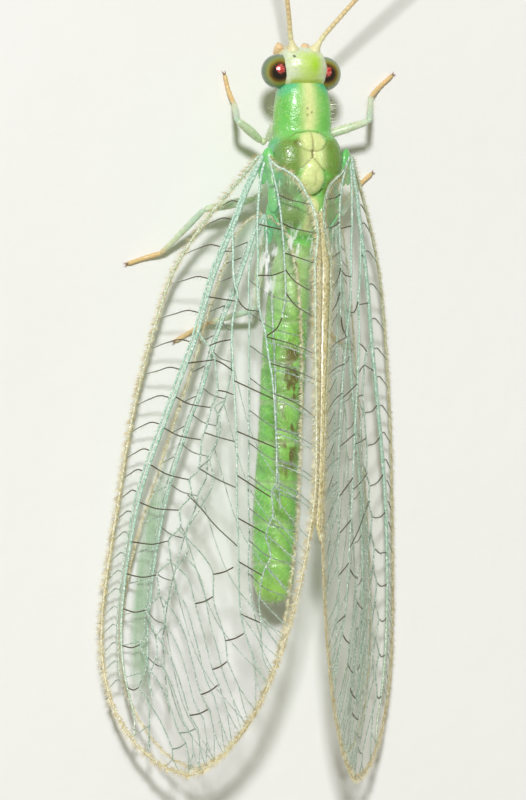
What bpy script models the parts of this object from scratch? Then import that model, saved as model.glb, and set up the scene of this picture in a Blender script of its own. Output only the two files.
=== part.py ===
"""A green lacewing at rest, life size: it stands level on its six feet, its long feelers point
forwards, and its two pairs of veined wings lie over the abdomen like a roof.

Frame: +Y towards the head, +X to the insect's right, +Z up, the floor at z = 0. Sizes and places
are written in millimetres and made metres by MM. The origin ends below the middle of the whole box.
"""
import math

import bmesh
import bpy
from mathutils import Vector

MM = 0.001
GAP = 0.22              # clear space between one piece and the next
BODY_SIDES = 14
BODY_POWER = 2.2        # how square the sections of the head and the thorax are; 2 is an ellipse

# Head and thorax: half widths, heights of the axis above the floor, and where the parts meet
HEAD_Z = 1.90
PROTHORAX_HALF_WIDTH = 0.58
MESOTHORAX_HALF_WIDTH = 0.76
METATHORAX_HALF_WIDTH = 0.64
THORAX_Z = 1.88
NECK_Y = 6.60           # back of the head
SHOULDER_Y = 5.64       # between the first and the second part of the thorax
SADDLE_Y = 4.28         # between the second and the third
WAIST_Y = 3.35          # front of the abdomen

# Sections of the body from front to back: y, half width, half height and z
HEAD_SECTIONS = ((NECK_Y, .22, .22, 1.95), (6.66, .36, .38, 1.93), (6.85, .45, .50, HEAD_Z),
                 (7.08, .44, .51, 1.86), (7.24, .37, .43, 1.82), (7.33, .24, .30, 1.78))
PROTHORAX_SECTIONS = ((NECK_Y - GAP, .30, .30, 1.90), (6.28, .47, .44, 1.89), (6.00, .56, .50, 1.88),
                      (5.74, PROTHORAX_HALF_WIDTH, .52, 1.88), (SHOULDER_Y, .50, .44, 1.90))
MESOTHORAX_SECTIONS = ((SHOULDER_Y - GAP, .46, .42, 1.98), (5.30, .64, .58, 1.95),
                       (4.95, MESOTHORAX_HALF_WIDTH, .70, THORAX_Z), (4.60, .74, .70, THORAX_Z),
                       (4.36, .62, .58, 1.86), (SADDLE_Y, .46, .44, 1.86))
METATHORAX_SECTIONS = ((SADDLE_Y - GAP, .46, .44, 1.80), (3.98, .60, .58, 1.78),
                       (3.78, METATHORAX_HALF_WIDTH, .62, 1.76), (3.62, .58, .52, 1.72),
                       (WAIST_Y + GAP, .42, .40, 1.68))

# Lobes of the flight muscles: centre and radii, those off the middle once on each side
MESOTHORAX_LOBES = (((0, 5.10, 2.36), (.34, .34, .24)), ((0, 4.55, 2.38), (.26, .34, .22)),
                    ((-.36, 4.86, 2.24), (.27, .40, .28)), ((.36, 4.86, 2.24), (.27, .40, .28)))
METATHORAX_LOBES = (((-.30, 3.82, 2.10), (.24, .22, .20)), ((.30, 3.82, 2.10), (.24, .22, .20)))

# Mouth: a muzzle that bends down and forwards, with a pair of palps on it
MUZZLE_PATH = ((0, 7.00, 1.70), (0, 7.18, 1.45), (0, 7.30, 1.22), (0, 7.36, 1.08))
MUZZLE_RADII = (.34, .18)
MUZZLE_SIDES = 10
PALP_PATH = ((.10, 7.22, 1.30), (.22, 7.34, 1.12), (.27, 7.50, 1.12))
PALP_RADII = (.09, .07)
PALP_SIDES = 6

# Eyes: globes cut flat where they sit on the sides of the head
EYE_RADIUS = 0.37
EYE_X = 0.53
EYE_Y = 6.84
EYE_SEAT_X = 0.43       # the flat side of each eye
EYE_GAP = 0.10
EYE_FACES = (18, 12)

# Abdomen: the axis runs from the waist to the tip, swung a little to the left like the wings,
# and each knot gives the share of the length and the value there
ABDOMEN_RADIUS = 0.45
ABDOMEN_SEGMENTS = 9
ABDOMEN_TIP_Y = -4.27
ABDOMEN_X = ((0, 0.0), (.1, -.05), (.28, -.16), (.55, -.27), (.8, -.38), (1, -.38))
ABDOMEN_Z = ((0, 1.62), (.1, 1.50), (.28, 1.44), (.6, 1.42), (1, 1.34))
ABDOMEN_SWELL = ((0, .62), (.08, .86), (.3, 1.0), (.8, 1.0), (.93, .84), (1, .42))
SEGMENT_PINCH = 0.93    # waist between two rings of the abdomen
SEGMENT_RISE = (.22, .78)   # where within a ring the full width begins and ends
ABDOMEN_FLATTEN = 0.96

# Wings: a flat plan along an axis from root to tip, hung at a steep slope on each side
WING_ROOT = (0.94, 5.08, 2.33)
WING_TIP_LEFT = (-2.66, -7.77, 2.25)
WING_TIP_RIGHT = (1.10, -7.92, 2.25)
WING_SLOPE = math.radians(48.3)
WING_CAMBER = 0.012     # drop of the membrane for each square millimetre from the axis
WING_BOW = 0.12         # how far the middle of a wing bulges outwards over its two ends
FOREWING_LOW = -0.05    # lower and upper faces of the fore wing, above its own membrane
FOREWING_HIGH = 0.43
MARGIN_THIN = 0.12      # how much each face draws in at the rim
VEIN_RISE = 0.10        # height of a vein's ridge over the membrane
VEIN_HALF_WIDTH = 0.10
VEIN_SPACING = 2.6      # least distance between two ridges, in half widths
HINDWING_HIGH = FOREWING_LOW - GAP - VEIN_RISE
HINDWING_LOW = HINDWING_HIGH - 0.40

# Plan of the wings: share of the length from the root, and the width there in millimetres
FOREWING_COSTAL = ((0, .20), (.03, .42), (.07, .78), (.12, 1.25), (.20, 1.80), (.32, 2.12),
                   (.50, 2.33), (.70, 2.44), (.80, 2.38), (.88, 2.08), (.94, 1.56), (.98, .88), (1, .12))
FOREWING_HIND = ((0, .20), (.03, .45), (.08, .75), (.18, 1.28), (.30, 1.70), (.45, 1.98),
                 (.60, 2.06), (.72, 1.95), (.82, 1.66), (.90, 1.22), (.96, .74), (1, .12))
HINDWING_COSTAL = ((.125, .62), (.16, .80), (.22, 1.05), (.30, 1.30), (.40, 1.57), (.50, 1.80),
                   (.61, 2.00), (.72, 2.00), (.81, 1.80), (.88, 1.40), (.93, .90), (.965, .15))
HINDWING_HIND = ((.125, -.12), (.16, .02), (.22, .30), (.30, .55), (.40, .80), (.50, 1.00),
                 (.61, 1.20), (.72, 1.32), (.81, 1.25), (.88, .98), (.93, .62), (.965, .15))

# Main veins: share of the length, and the place across in millimetres, costal side positive
FOREWING_VEINS = (
    ((0, .12), (.06, .40), (.15, .74), (.21, .92), (.30, 1.14), (.40, 1.46), (.50, 1.80), (.57, 1.97),
     (.70, 2.06), (.78, 2.00), (.84, 1.90), (.90, 1.62), (1, .10)),
    ((0, .04), (.10, .38), (.20, .68), (.28, .84), (.33, .60), (.38, .50), (.45, .58), (.58, .86),
     (.70, 1.20), (.77, 1.30), (.85, 1.28), (.92, .95), (1, .04)),
    ((0, -.02), (.15, .42), (.25, .32), (.31, .20), (.40, -.03), (.50, -.26), (.60, -.50), (.74, -.80),
     (.83, -.92), (.92, -.70), (1, -.04)),
    ((0, -.10), (.14, -.16), (.22, -.25), (.29, -.57), (.38, -.90), (.47, -1.08), (.55, -1.16),
     (.65, -1.36), (.75, -1.45), (.85, -1.25), (1, -.10)),
)
HINDWING_VEINS = (
    ((.125, .44), (.22, .60), (.31, .81), (.38, 1.00), (.44, 1.17), (.56, 1.56), (.67, 1.78),
     (.75, 1.79), (.82, 1.62), (.965, .08)),
    ((.125, .32), (.22, .40), (.31, .48), (.47, .50), (.61, .90), (.72, 1.16), (.82, 1.15), (.965, .03)),
    ((.125, .22), (.25, .12), (.39, -.09), (.50, -.30), (.62, -.50), (.80, -.55), (.965, -.02)),
)
WING_STATIONS = 22

# Legs: a round bar along each path, thick enough to handle, ending in a flat sole
LEG_RADIUS = 0.24
LEG_STEPS = 3           # rings between two points of the path
LIMB_SIDES = 8
SOLE_Z = LEG_RADIUS * math.cos(math.pi / LIMB_SIDES)
RING_STEP = 0.02        # least room between two rings of a bar
LEG_PATHS = {
    "leg_front_left": ((-.32, 5.68, .90), (-.66, 5.54, .94), (-.98, 5.60, 1.20), (-1.20, 5.80, 1.40),
                       (-1.22, 6.10, 1.28), (-1.06, 6.28, .88), (-.96, 6.42, .48),
                       (-.94, 6.55, SOLE_Z), (-.96, 6.96, SOLE_Z)),
    "leg_front_right": ((.32, 5.68, .90), (.62, 5.58, .94), (1.10, 5.66, 1.20), (1.62, 5.86, 1.42),
                        (1.88, 6.08, 1.24), (2.08, 6.30, .72), (2.32, 6.50, SOLE_Z),
                        (2.85, 6.88, SOLE_Z)),
    "leg_middle_left": ((-.30, 4.55, .80), (-.48, 4.22, .68), (-.80, 3.97, .75), (-1.82, 3.98, 1.00),
                        (-2.44, 3.10, .40), (-2.66, 2.99, SOLE_Z), (-3.14, 2.85, SOLE_Z)),
    "leg_middle_right": ((.30, 4.55, .80), (.48, 4.24, .68), (.75, 4.02, .75), (1.25, 3.92, 1.00),
                         (1.80, 4.34, .40), (1.98, 4.50, SOLE_Z), (2.42, 4.81, SOLE_Z)),
    "leg_hind_left": ((-.32, 3.40, .84), (-.46, 3.05, .76), (-.70, 2.45, .82), (-.82, 1.92, .90),
                      (-1.40, 1.64, .42), (-1.62, 1.50, SOLE_Z), (-2.08, 1.24, SOLE_Z)),
    "leg_hind_right": ((.32, 3.40, .84), (.44, 3.05, .72), (.54, 2.45, .74), (.62, 1.92, .76),
                       (1.20, 1.52, .36), (1.42, 1.38, SOLE_Z), (1.92, 1.08, SOLE_Z)),
}

# Feelers: from the brow, forwards, outwards and up
FEELER_RADII = (.20, .09)
FEELER_STEPS = 4
FEELER_PATHS = {
    "antenna_left": ((-.33, 7.46, 2.13), (-.37, 7.66, 2.24), (-.54, 8.33, 2.50), (-.95, 9.60, 2.95),
                     (-1.60, 11.2, 3.45), (-2.50, 12.9, 3.90), (-3.70, 14.6, 4.15), (-5.20, 16.2, 4.20)),
    "antenna_right": ((.33, 7.46, 2.13), (.42, 7.66, 2.26), (.97, 8.33, 2.55), (2.00, 9.50, 2.98),
                      (3.25, 10.9, 3.42), (4.60, 12.5, 3.80), (5.90, 14.2, 4.05), (7.00, 15.9, 4.10)),
}


def smooth(knots, at):
    """A value read off a smooth line through the knots that never overshoots them."""
    steps = list(zip(knots, knots[1:]))
    slopes = [(b[1] - a[1]) / (b[0] - a[0]) for a, b in steps]
    lean = [slopes[0]]
    for before, after in zip(slopes, slopes[1:]):
        lean.append(0 if before * after <= 0 else 2 * before * after / (before + after))
    lean.append(slopes[-1])
    index = max(i for i in range(len(steps)) if i == 0 or knots[i][0] <= at)
    (x0, y0), (x1, y1) = steps[index]
    span = x1 - x0
    t = (at - x0) / span
    return ((2 * t**3 - 3 * t**2 + 1) * y0 + (t**3 - 2 * t**2 + t) * span * lean[index]
            + (3 * t**2 - 2 * t**3) * y1 + (t**3 - t**2) * span * lean[index + 1])


def curve_through(points, steps):
    """Points of a smooth curve through the given points, with so many steps between each two."""
    lengths = [0.0]
    for a, b in zip(points, points[1:]):
        lengths.append(lengths[-1] + math.dist(a, b))
    axes = [list(zip(lengths, values)) for values in zip(*points)]
    stops = [lengths[i] + (lengths[i + 1] - lengths[i]) * k / steps
             for i in range(len(lengths) - 1) for k in range(steps)]
    return [tuple(smooth(axis, stop) for axis in axes) for stop in stops + [lengths[-1]]]


def material(name, colour, roughness, alpha=1.0):
    made = bpy.data.materials.new(name)
    made.use_nodes = True
    shader = made.node_tree.nodes["Principled BSDF"]
    shader.inputs["Base Color"].default_value = (*colour, 1)
    shader.inputs["Roughness"].default_value = roughness
    shader.inputs["Metallic"].default_value = 0
    shader.inputs["Alpha"].default_value = alpha
    made.diffuse_color = (*colour, alpha)
    return made


def add_object(name, bm, finish=None):
    bmesh.ops.recalc_face_normals(bm, faces=bm.faces)
    mesh = bpy.data.meshes.new(name)
    bm.to_mesh(mesh)
    bm.free()
    obj = bpy.data.objects.new(name, mesh)
    bpy.context.scene.collection.objects.link(obj)
    if finish:
        mesh.materials.append(finish)
    return obj


def ring(centre, side, up, half_width, half_height, sides, power=2):
    """A closed ring of points round the centre: an ellipse, squarer with a higher power."""
    points = []
    for k in range(sides):
        angle = 2 * math.pi * (k + 0.5) / sides
        c, s = math.cos(angle), math.sin(angle)
        x = math.copysign(abs(c) ** (2 / power), c) * half_width
        y = math.copysign(abs(s) ** (2 / power), s) * half_height
        points.append(Vector(centre) + side * x + up * y)
    return points


def skin_rings(rings):
    """A closed body over rings that all have the same number of points."""
    bm = bmesh.new()
    loops = [[bm.verts.new(p * MM) for p in points] for points in rings]
    count = len(loops[0])
    for a, b in zip(loops, loops[1:]):
        for k in range(count):
            n = (k + 1) % count
            bm.faces.new((a[k], a[n], b[n]))
            bm.faces.new((a[k], b[n], b[k]))
    for loop in (loops[0], loops[-1]):
        middle = bm.verts.new(sum((v.co for v in loop), Vector()) / count)
        for k in range(count):
            bm.faces.new((loop[k], loop[(k + 1) % count], middle))
    return bm


def body_along_y(sections, power=BODY_POWER):
    """A body over upright sections: each gives y, half width, half height, z and, if swung, x."""
    side, up = Vector((1, 0, 0)), Vector((0, 0, 1))
    rings = []
    for y, half_width, half_height, z, *x in sections:
        centre = (x[0] if x else 0.0, y, z)
        rings.append(ring(centre, side, up, half_width, half_height, BODY_SIDES, power))
    return skin_rings(rings)


def moves_on(before, after):
    """Whether every point of a bar's next ring lies further along the bar than the one before."""
    (along_a, points_a), (along_b, points_b) = before, after
    onward = (along_a + along_b).normalized()
    return all((b - a).dot(onward) > RING_STEP for a, b in zip(points_a, points_b))


def tube(points, radii, sides):
    """A round bar along a path from its first radius to its second, with a flat side kept
    underneath; tight bends get fewer rings."""
    rings = []
    last = len(points) - 1
    for i, point in enumerate(points):
        along = (Vector(points[min(i + 1, last)]) - Vector(points[max(i - 1, 0)])).normalized()
        side = along.cross(Vector((0, 0, 1))).normalized()
        up = side.cross(along)
        radius = radii[0] + (radii[1] - radii[0]) * i / last
        made = (along, ring(point, side, up, radius, radius, sides))
        if not rings or moves_on(rings[-1], made):
            rings.append(made)
    return skin_rings([ring_points for _, ring_points in rings])


def ellipsoid(centre, radii, segments=12, rings=8):
    """A ball stretched to its three radii, in millimetres like its centre."""
    bm = bmesh.new()
    bmesh.ops.create_uvsphere(bm, u_segments=segments, v_segments=rings, radius=1)
    for vert in bm.verts:
        vert.co = Vector(c + v * r for c, v, r in zip(centre, vert.co, radii)) * MM
    bmesh.ops.triangulate(bm, faces=bm.faces)
    return bm


def cut_flat(bm, point, normal):
    """Cuts away what lies beyond a plane and closes the cut with a flat face."""
    geometry = bm.verts[:] + bm.edges[:] + bm.faces[:]
    cut = bmesh.ops.bisect_plane(bm, geom=geometry, plane_co=Vector(point) * MM, plane_no=normal,
                                 clear_outer=True, dist=1e-7)
    rim = [e for e in cut["geom_cut"] if isinstance(e, bmesh.types.BMEdge)]
    bmesh.ops.contextual_create(bm, geom=rim)
    bmesh.ops.triangulate(bm, faces=bm.faces)


def keep_largest(mesh):
    """Leaves only the largest closed surface of a mesh."""
    bm = bmesh.new()
    bm.from_mesh(mesh)
    bmesh.ops.remove_doubles(bm, verts=bm.verts, dist=2e-6)
    bmesh.ops.triangulate(bm, faces=bm.faces)
    unseen = set(bm.verts)
    islands = []
    while unseen:
        island, edge = set(), [unseen.pop()]
        while edge:
            vert = edge.pop()
            island.add(vert)
            near = {e.other_vert(vert) for e in vert.link_edges} & unseen
            unseen -= near
            edge.extend(near)
        islands.append(island)
    largest = max(islands, key=len)
    bmesh.ops.delete(bm, geom=[v for v in bm.verts if v not in largest], context="VERTS")
    bm.to_mesh(mesh)
    bm.free()


def fuse(name, base, pieces, finish):
    """One closed body from a base and the pieces sunk into it."""
    obj = add_object(name, base, finish)
    group = bpy.data.collections.new(name + "_pieces")
    bpy.context.scene.collection.children.link(group)
    for index, piece in enumerate(pieces):
        part = add_object(f"{name}_piece_{index}", piece)
        bpy.context.scene.collection.objects.unlink(part)
        group.objects.link(part)
    union = obj.modifiers.new("union", "BOOLEAN")
    union.operation = "UNION"
    union.solver = "EXACT"
    union.operand_type = "COLLECTION"
    union.collection = group
    bpy.context.view_layer.update()
    evaluated = obj.evaluated_get(bpy.context.evaluated_depsgraph_get())
    fused = bpy.data.meshes.new_from_object(evaluated)
    obj.modifiers.remove(union)
    obj.data = fused
    keep_largest(fused)
    for part in list(group.objects):
        bpy.data.objects.remove(part)
    bpy.data.collections.remove(group)
    return obj


class WingPlane:
    """The plane of one wing: along its axis, across to the costal margin, and out of the membrane."""

    def __init__(self, side, tip):
        root_x, root_y, root_z = WING_ROOT
        self.root = Vector((side * root_x, root_y, root_z))
        self.length = (Vector(tip) - self.root).length
        self.along = (Vector(tip) - self.root).normalized()
        down = Vector((side * math.cos(WING_SLOPE), 0, -math.sin(WING_SLOPE)))
        self.across = (down - self.along * down.dot(self.along)).normalized()
        out = self.along.cross(self.across)
        self.out = out if out.z > 0 else -out

    def at(self, share, across, height):
        bulge = WING_BOW * 4 * share * (1 - share) - WING_CAMBER * across * across
        return (self.root + self.along * (share * self.length) + self.across * across
                + self.out * (height + bulge))


def wing_columns(costal, hind, share, veins):
    """Places across a wing, each with its rise and whether it lies on the rim."""
    half = min(VEIN_HALF_WIDTH, (costal + hind) / (3 * len(veins) + 4))
    apart = VEIN_SPACING * half
    middles = []
    for vein in veins:
        above = middles[-1] if middles else costal
        middles.append(min(smooth(vein, share), above - apart))
    below = -hind
    for i in reversed(range(len(middles))):
        below = middles[i] = max(middles[i], below + apart)
    columns = [(costal, 0, True), (costal - half, 0, False)]
    for middle in middles:
        columns += [(middle + half, 0, False), (middle, VEIN_RISE, False), (middle - half, 0, False)]
    return columns + [(half - hind, 0, False), (-hind, 0, True)]


def wing(name, plane, costal_knots, hind_knots, veins, low, high, finish):
    """A thin slab with its main veins raised as ridges, split alike on both faces."""
    first, last = costal_knots[0][0], costal_knots[-1][0]
    bm = bmesh.new()
    upper, lower = [], []
    for i in range(WING_STATIONS + 1):
        share = first + (last - first) * (1 - math.cos(math.pi * i / WING_STATIONS)) / 2
        at_end = i in (0, WING_STATIONS)
        costal, hind = smooth(costal_knots, share), smooth(hind_knots, share)
        columns = wing_columns(costal, hind, share, veins)
        tops, bottoms = [], []
        for across, rise, on_rim in columns:
            thin = MARGIN_THIN if on_rim or at_end else 0
            lift = 0 if at_end else rise
            tops.append(bm.verts.new(plane.at(share, across, high - thin + lift) * MM))
            bottoms.append(bm.verts.new(plane.at(share, across, low + thin) * MM))
        upper.append(tops)
        lower.append(bottoms)
    for face in (upper, lower):
        for a, b in zip(face, face[1:]):
            for k in range(len(a) - 1):
                bm.faces.new((a[k], a[k + 1], b[k + 1]))
                bm.faces.new((a[k], b[k + 1], b[k]))
    count = len(upper[0])
    rim = [(0, k) for k in range(count)]
    rim += [(i, count - 1) for i in range(1, WING_STATIONS + 1)]
    rim += [(WING_STATIONS, k) for k in range(count - 2, -1, -1)]
    rim += [(i, 0) for i in range(WING_STATIONS - 1, 0, -1)]
    for (i, k), (j, m) in zip(rim, rim[1:] + rim[:1]):
        bm.faces.new((upper[i][k], upper[j][m], lower[j][m]))
        bm.faces.new((upper[i][k], lower[j][m], lower[i][k]))
    return add_object(name, bm, finish)


def make_head(finish):
    capsule = body_along_y(HEAD_SECTIONS)
    for side in (-1, 1):
        cut_flat(capsule, (side * (EYE_SEAT_X - EYE_GAP), 0, 0), (side, 0, 0))
    pieces = [tube(MUZZLE_PATH, MUZZLE_RADII, MUZZLE_SIDES)]
    for side in (-1, 1):
        path = [(side * x, y, z) for x, y, z in PALP_PATH]
        pieces.append(tube(path, PALP_RADII, PALP_SIDES))
    return fuse("head", capsule, pieces, finish)


def make_eye(name, side, finish):
    globe = ellipsoid((side * EYE_X, EYE_Y, HEAD_Z), (EYE_RADIUS, EYE_RADIUS, EYE_RADIUS), *EYE_FACES)
    cut_flat(globe, (side * EYE_SEAT_X, 0, 0), (-side, 0, 0))
    return add_object(name, globe, finish)


def make_thorax(finish):
    add_object("prothorax", body_along_y(PROTHORAX_SECTIONS), finish)
    for name, sections, lobes in (("mesothorax", MESOTHORAX_SECTIONS, MESOTHORAX_LOBES),
                                  ("metathorax", METATHORAX_SECTIONS, METATHORAX_LOBES)):
        pieces = [ellipsoid(centre, radii) for centre, radii in lobes]
        fuse(name, body_along_y(sections), pieces, finish)


def abdomen_section(share, pinch):
    """One upright section of the abdomen at a share of its length."""
    radius = ABDOMEN_RADIUS * smooth(ABDOMEN_SWELL, share) * pinch
    y = WAIST_Y + (ABDOMEN_TIP_Y - WAIST_Y) * share
    return y, radius, radius * ABDOMEN_FLATTEN, smooth(ABDOMEN_Z, share), smooth(ABDOMEN_X, share)


def make_abdomen(finish):
    """Nine rings of the abdomen in three lengths, each ring pinched where it meets the next."""
    names = ("abdomen_front", "abdomen_middle", "abdomen_tip")
    each = ABDOMEN_SEGMENTS // len(names)
    half_gap = GAP / 2 / (WAIST_Y - ABDOMEN_TIP_Y)
    for index, name in enumerate(names):
        start, end = index * each, (index + 1) * each
        first = start / ABDOMEN_SEGMENTS + (half_gap if start else 0)
        last = end / ABDOMEN_SEGMENTS - (half_gap if end < ABDOMEN_SEGMENTS else 0)
        sections = [abdomen_section(first, SEGMENT_PINCH)]
        for segment in range(start, end):
            if segment > start:
                sections.append(abdomen_section(segment / ABDOMEN_SEGMENTS, SEGMENT_PINCH))
            sections += [abdomen_section((segment + rise) / ABDOMEN_SEGMENTS, 1) for rise in SEGMENT_RISE]
        sections.append(abdomen_section(last, SEGMENT_PINCH))
        add_object(name, body_along_y(sections, power=2), finish)


def make_limbs(leg_finish, feeler_finish):
    for name, path in LEG_PATHS.items():
        bm = tube(curve_through(path, LEG_STEPS), (LEG_RADIUS, LEG_RADIUS), LIMB_SIDES)
        for vert in bm.verts:
            vert.co.z = max(vert.co.z, 0.0)
        add_object(name, bm, leg_finish)
    for name, path in FEELER_PATHS.items():
        bm = tube(curve_through(path, FEELER_STEPS), FEELER_RADII, LIMB_SIDES)
        add_object(name, bm, feeler_finish)


def make_wings(finish):
    for word, side, tip in (("left", -1, WING_TIP_LEFT), ("right", 1, WING_TIP_RIGHT)):
        plane = WingPlane(side, tip)
        wing("forewing_" + word, plane, FOREWING_COSTAL, FOREWING_HIND, FOREWING_VEINS,
             FOREWING_LOW, FOREWING_HIGH, finish)
        wing("hindwing_" + word, plane, HINDWING_COSTAL, HINDWING_HIND, HINDWING_VEINS,
             HINDWING_LOW, HINDWING_HIGH, finish)


def centre_on_floor():
    """Moves the whole insect so that the origin is on the floor below the middle of its box."""
    corners = [obj.matrix_world @ v.co for obj in bpy.context.scene.objects for v in obj.data.vertices]
    middle = [(min(c[k] for c in corners) + max(c[k] for c in corners)) / 2 for k in range(2)]
    for obj in bpy.context.scene.objects:
        obj.location -= Vector((middle[0], middle[1], 0))


def main():
    for obj in list(bpy.data.objects):
        bpy.data.objects.remove(obj)
    make_head(material("head_skin", (.45, .66, .16), .35))
    eye_finish = material("eye_globe", (.16, .13, .04), .12)
    make_eye("eye_left", -1, eye_finish)
    make_eye("eye_right", 1, eye_finish)
    make_thorax(material("thorax_skin", (.16, .52, .14), .4))
    make_abdomen(material("abdomen_skin", (.22, .62, .10), .45))
    make_limbs(material("leg_skin", (.42, .58, .34), .45), material("feeler_skin", (.66, .58, .36), .5))
    make_wings(material("wing_membrane", (.70, .82, .72), .25, .45))
    centre_on_floor()


main()
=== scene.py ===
# %% [markdown]
# # A green lacewing, life size
# A lacewing is a soft green insect a little over a centimetre long. It rests with two pairs of clear,
# net-veined wings laid over its back like a roof, on six thin legs, with long feelers held forwards.
# This lesson dresses a plain solid model of one: first a few tools, then the finishes, then each part
# from the body to the hairs on its wings, and last the floor, the light and the camera.

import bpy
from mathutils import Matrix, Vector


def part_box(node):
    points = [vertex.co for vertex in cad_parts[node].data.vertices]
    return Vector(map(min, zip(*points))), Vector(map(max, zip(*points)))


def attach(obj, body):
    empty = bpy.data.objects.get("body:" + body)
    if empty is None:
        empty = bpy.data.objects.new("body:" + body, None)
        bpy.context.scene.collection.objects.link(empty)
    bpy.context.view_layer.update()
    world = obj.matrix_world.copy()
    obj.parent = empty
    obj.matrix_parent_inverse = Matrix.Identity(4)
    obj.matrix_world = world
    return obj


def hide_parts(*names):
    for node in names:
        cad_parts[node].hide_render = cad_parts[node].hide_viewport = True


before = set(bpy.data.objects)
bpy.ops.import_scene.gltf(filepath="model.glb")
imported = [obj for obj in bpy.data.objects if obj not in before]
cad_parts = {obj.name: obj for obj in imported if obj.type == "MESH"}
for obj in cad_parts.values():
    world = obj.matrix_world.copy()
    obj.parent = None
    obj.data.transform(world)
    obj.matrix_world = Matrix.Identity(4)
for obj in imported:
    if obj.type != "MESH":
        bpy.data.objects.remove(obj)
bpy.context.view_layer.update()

# %% Modules
import math

import bmesh
import bpy
import numpy as np
from mathutils import Vector

# %% [markdown]
# ## Working in the insect's own millimetres
# Everything below is written in millimetres from the insect's own midline: +Y is towards the head,
# +X to its right, +Z up from the floor. The first ring of the thorax tells where that midline lies in
# the frame, so one small function moves any list of points there.

# %% From millimetres to the frame
MM = 0.001
PROTHORAX_FRONT_Y = 6.38
front_low, front_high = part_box("prothorax")
MIDLINE = np.array([(front_low.x + front_high.x) / 2, front_high.y - PROTHORAX_FRONT_Y * MM, 0.0])


def to_frame(points):
    return np.asarray(points, float) * MM + MIDLINE


print("midline in mm", np.round(MIDLINE / MM, 3))

# %% [markdown]
# ## Smooth lines through a few knots
# An insect has no straight line in it. A shape is given by a few knots, and read off a smooth curve
# that passes through them and never swings past them, which a plain spline would do.


# %% Reading a smooth curve
def smooth(knots, at):
    """Values beside the first column of the knots, read at the given places of that column."""
    knots = np.asarray(knots, float)
    x, y = knots[:, 0], knots[:, 1:]
    span = np.diff(x)[:, None]
    slope = np.diff(y, axis=0) / span
    lean = np.vstack([slope[:1], slope[1:], slope[-1:]])
    same_way = slope[:-1] * slope[1:] > 0
    total = np.where(same_way, slope[:-1] + slope[1:], 1)
    lean[1:-1] = np.where(same_way, 2 * slope[:-1] * slope[1:] / total, 0)
    at = np.clip(np.atleast_1d(np.asarray(at, float)), x[0], x[-1])
    i = np.clip(np.searchsorted(x, at) - 1, 0, len(span) - 1)
    t = (at - x[i])[:, None] / span[i]
    return ((2 * t**3 - 3 * t**2 + 1) * y[i] + (t**3 - 2 * t**2 + t) * span[i] * lean[i]
            + (3 * t**2 - 2 * t**3) * y[i + 1] + (t**3 - t**2) * span[i] * lean[i + 1])


def along_path(points, step):
    """A smooth path through the points, and how far along it each place is, from 0 to 1."""
    points = np.asarray(points, float)
    travelled = np.concatenate([[0], np.cumsum(np.linalg.norm(np.diff(points, axis=0), axis=1))])
    count = max(3, int(round(travelled[-1] / step)) + 1)
    stops = np.linspace(0, travelled[-1], count)
    return smooth(np.column_stack([travelled, points]), stops), stops / travelled[-1]


def unit(vectors):
    return vectors / np.maximum(np.linalg.norm(vectors, axis=-1, keepdims=True), 1e-12)


# %% [markdown]
# ## Skins over rings
# A body, a leg segment or a feeler is a stack of closed rings. One function joins the rings into a
# closed skin, another lays rings round a path, and a third turns the result into an object with its
# place in its mesh and with named values on its points, which the finishes read as paint.


# %% Skin, tube and piece
def skin_over(rings):
    """Points and faces of the closed skin over rings with the same number of points."""
    count, around, _ = rings.shape
    index = np.arange(count * around).reshape(count, around)
    onward = np.roll(index, -1, axis=1)
    faces = np.stack([index[:-1], onward[:-1], onward[1:], index[1:]], -1).reshape(-1, 4).tolist()
    faces += [index[0][::-1].tolist(), index[-1].tolist()]
    return rings.reshape(-1, 3), faces


def rings_round(path, radii, around, flatten=1.0):
    """Round rings along a path, turned as little as possible from one to the next."""
    tangent = unit(np.gradient(path, axis=0))
    side = unit(np.cross(tangent[0], [0.0, 0.0, 1.0]))
    angles = np.linspace(0, 2 * np.pi, around, endpoint=False)
    rings = []
    for place, forward, radius in zip(path, tangent, radii):
        side = unit(side - forward * side.dot(forward))
        up = np.cross(side, forward)
        rings.append(place + radius * (np.cos(angles)[:, None] * side
                                       + flatten * np.sin(angles)[:, None] * up))
    return np.array(rings)


def join(parts):
    """One list of points and faces from several."""
    points, faces, start = [], [], 0
    for part_points, part_faces in parts:
        points.append(part_points)
        faces += [[start + i for i in face] for face in part_faces]
        start += len(part_points)
    return np.vstack(points), faces


def make_piece(name, points, faces, finish, paint=None):
    mesh = bpy.data.meshes.new(name)
    mesh.from_pydata(to_frame(points).tolist(), [], faces)
    for field, values in (paint or {}).items():
        layer = mesh.attributes.new(field, "FLOAT", "POINT")
        layer.data.foreach_set("value", np.asarray(values, np.float32))
    shell = bmesh.new()
    shell.from_mesh(mesh)
    bmesh.ops.recalc_face_normals(shell, faces=shell.faces)
    shell.to_mesh(mesh)
    shell.free()
    mesh.shade_smooth()
    mesh.materials.append(finish)
    piece = bpy.data.objects.new(name, mesh)
    bpy.context.scene.collection.objects.link(piece)
    return piece


def settle(piece, slot, *nodes):
    """Fixes a finished piece to the insect and hides the solids that it stands for; the slot is not used."""
    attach(piece, "root")
    if nodes:
        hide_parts(*nodes)
    print(piece.name, len(piece.data.polygons), "faces")


# %% [markdown]
# ## Writing finishes as sums
# A finish mixes colours by masks, and masks are sums and products of patterns. So that this reads as
# plain maths, a small class wraps a socket and turns +, -, * and ** into Math nodes. Any other node
# comes from one method, which sets the node's own settings first and then its sockets.


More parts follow.
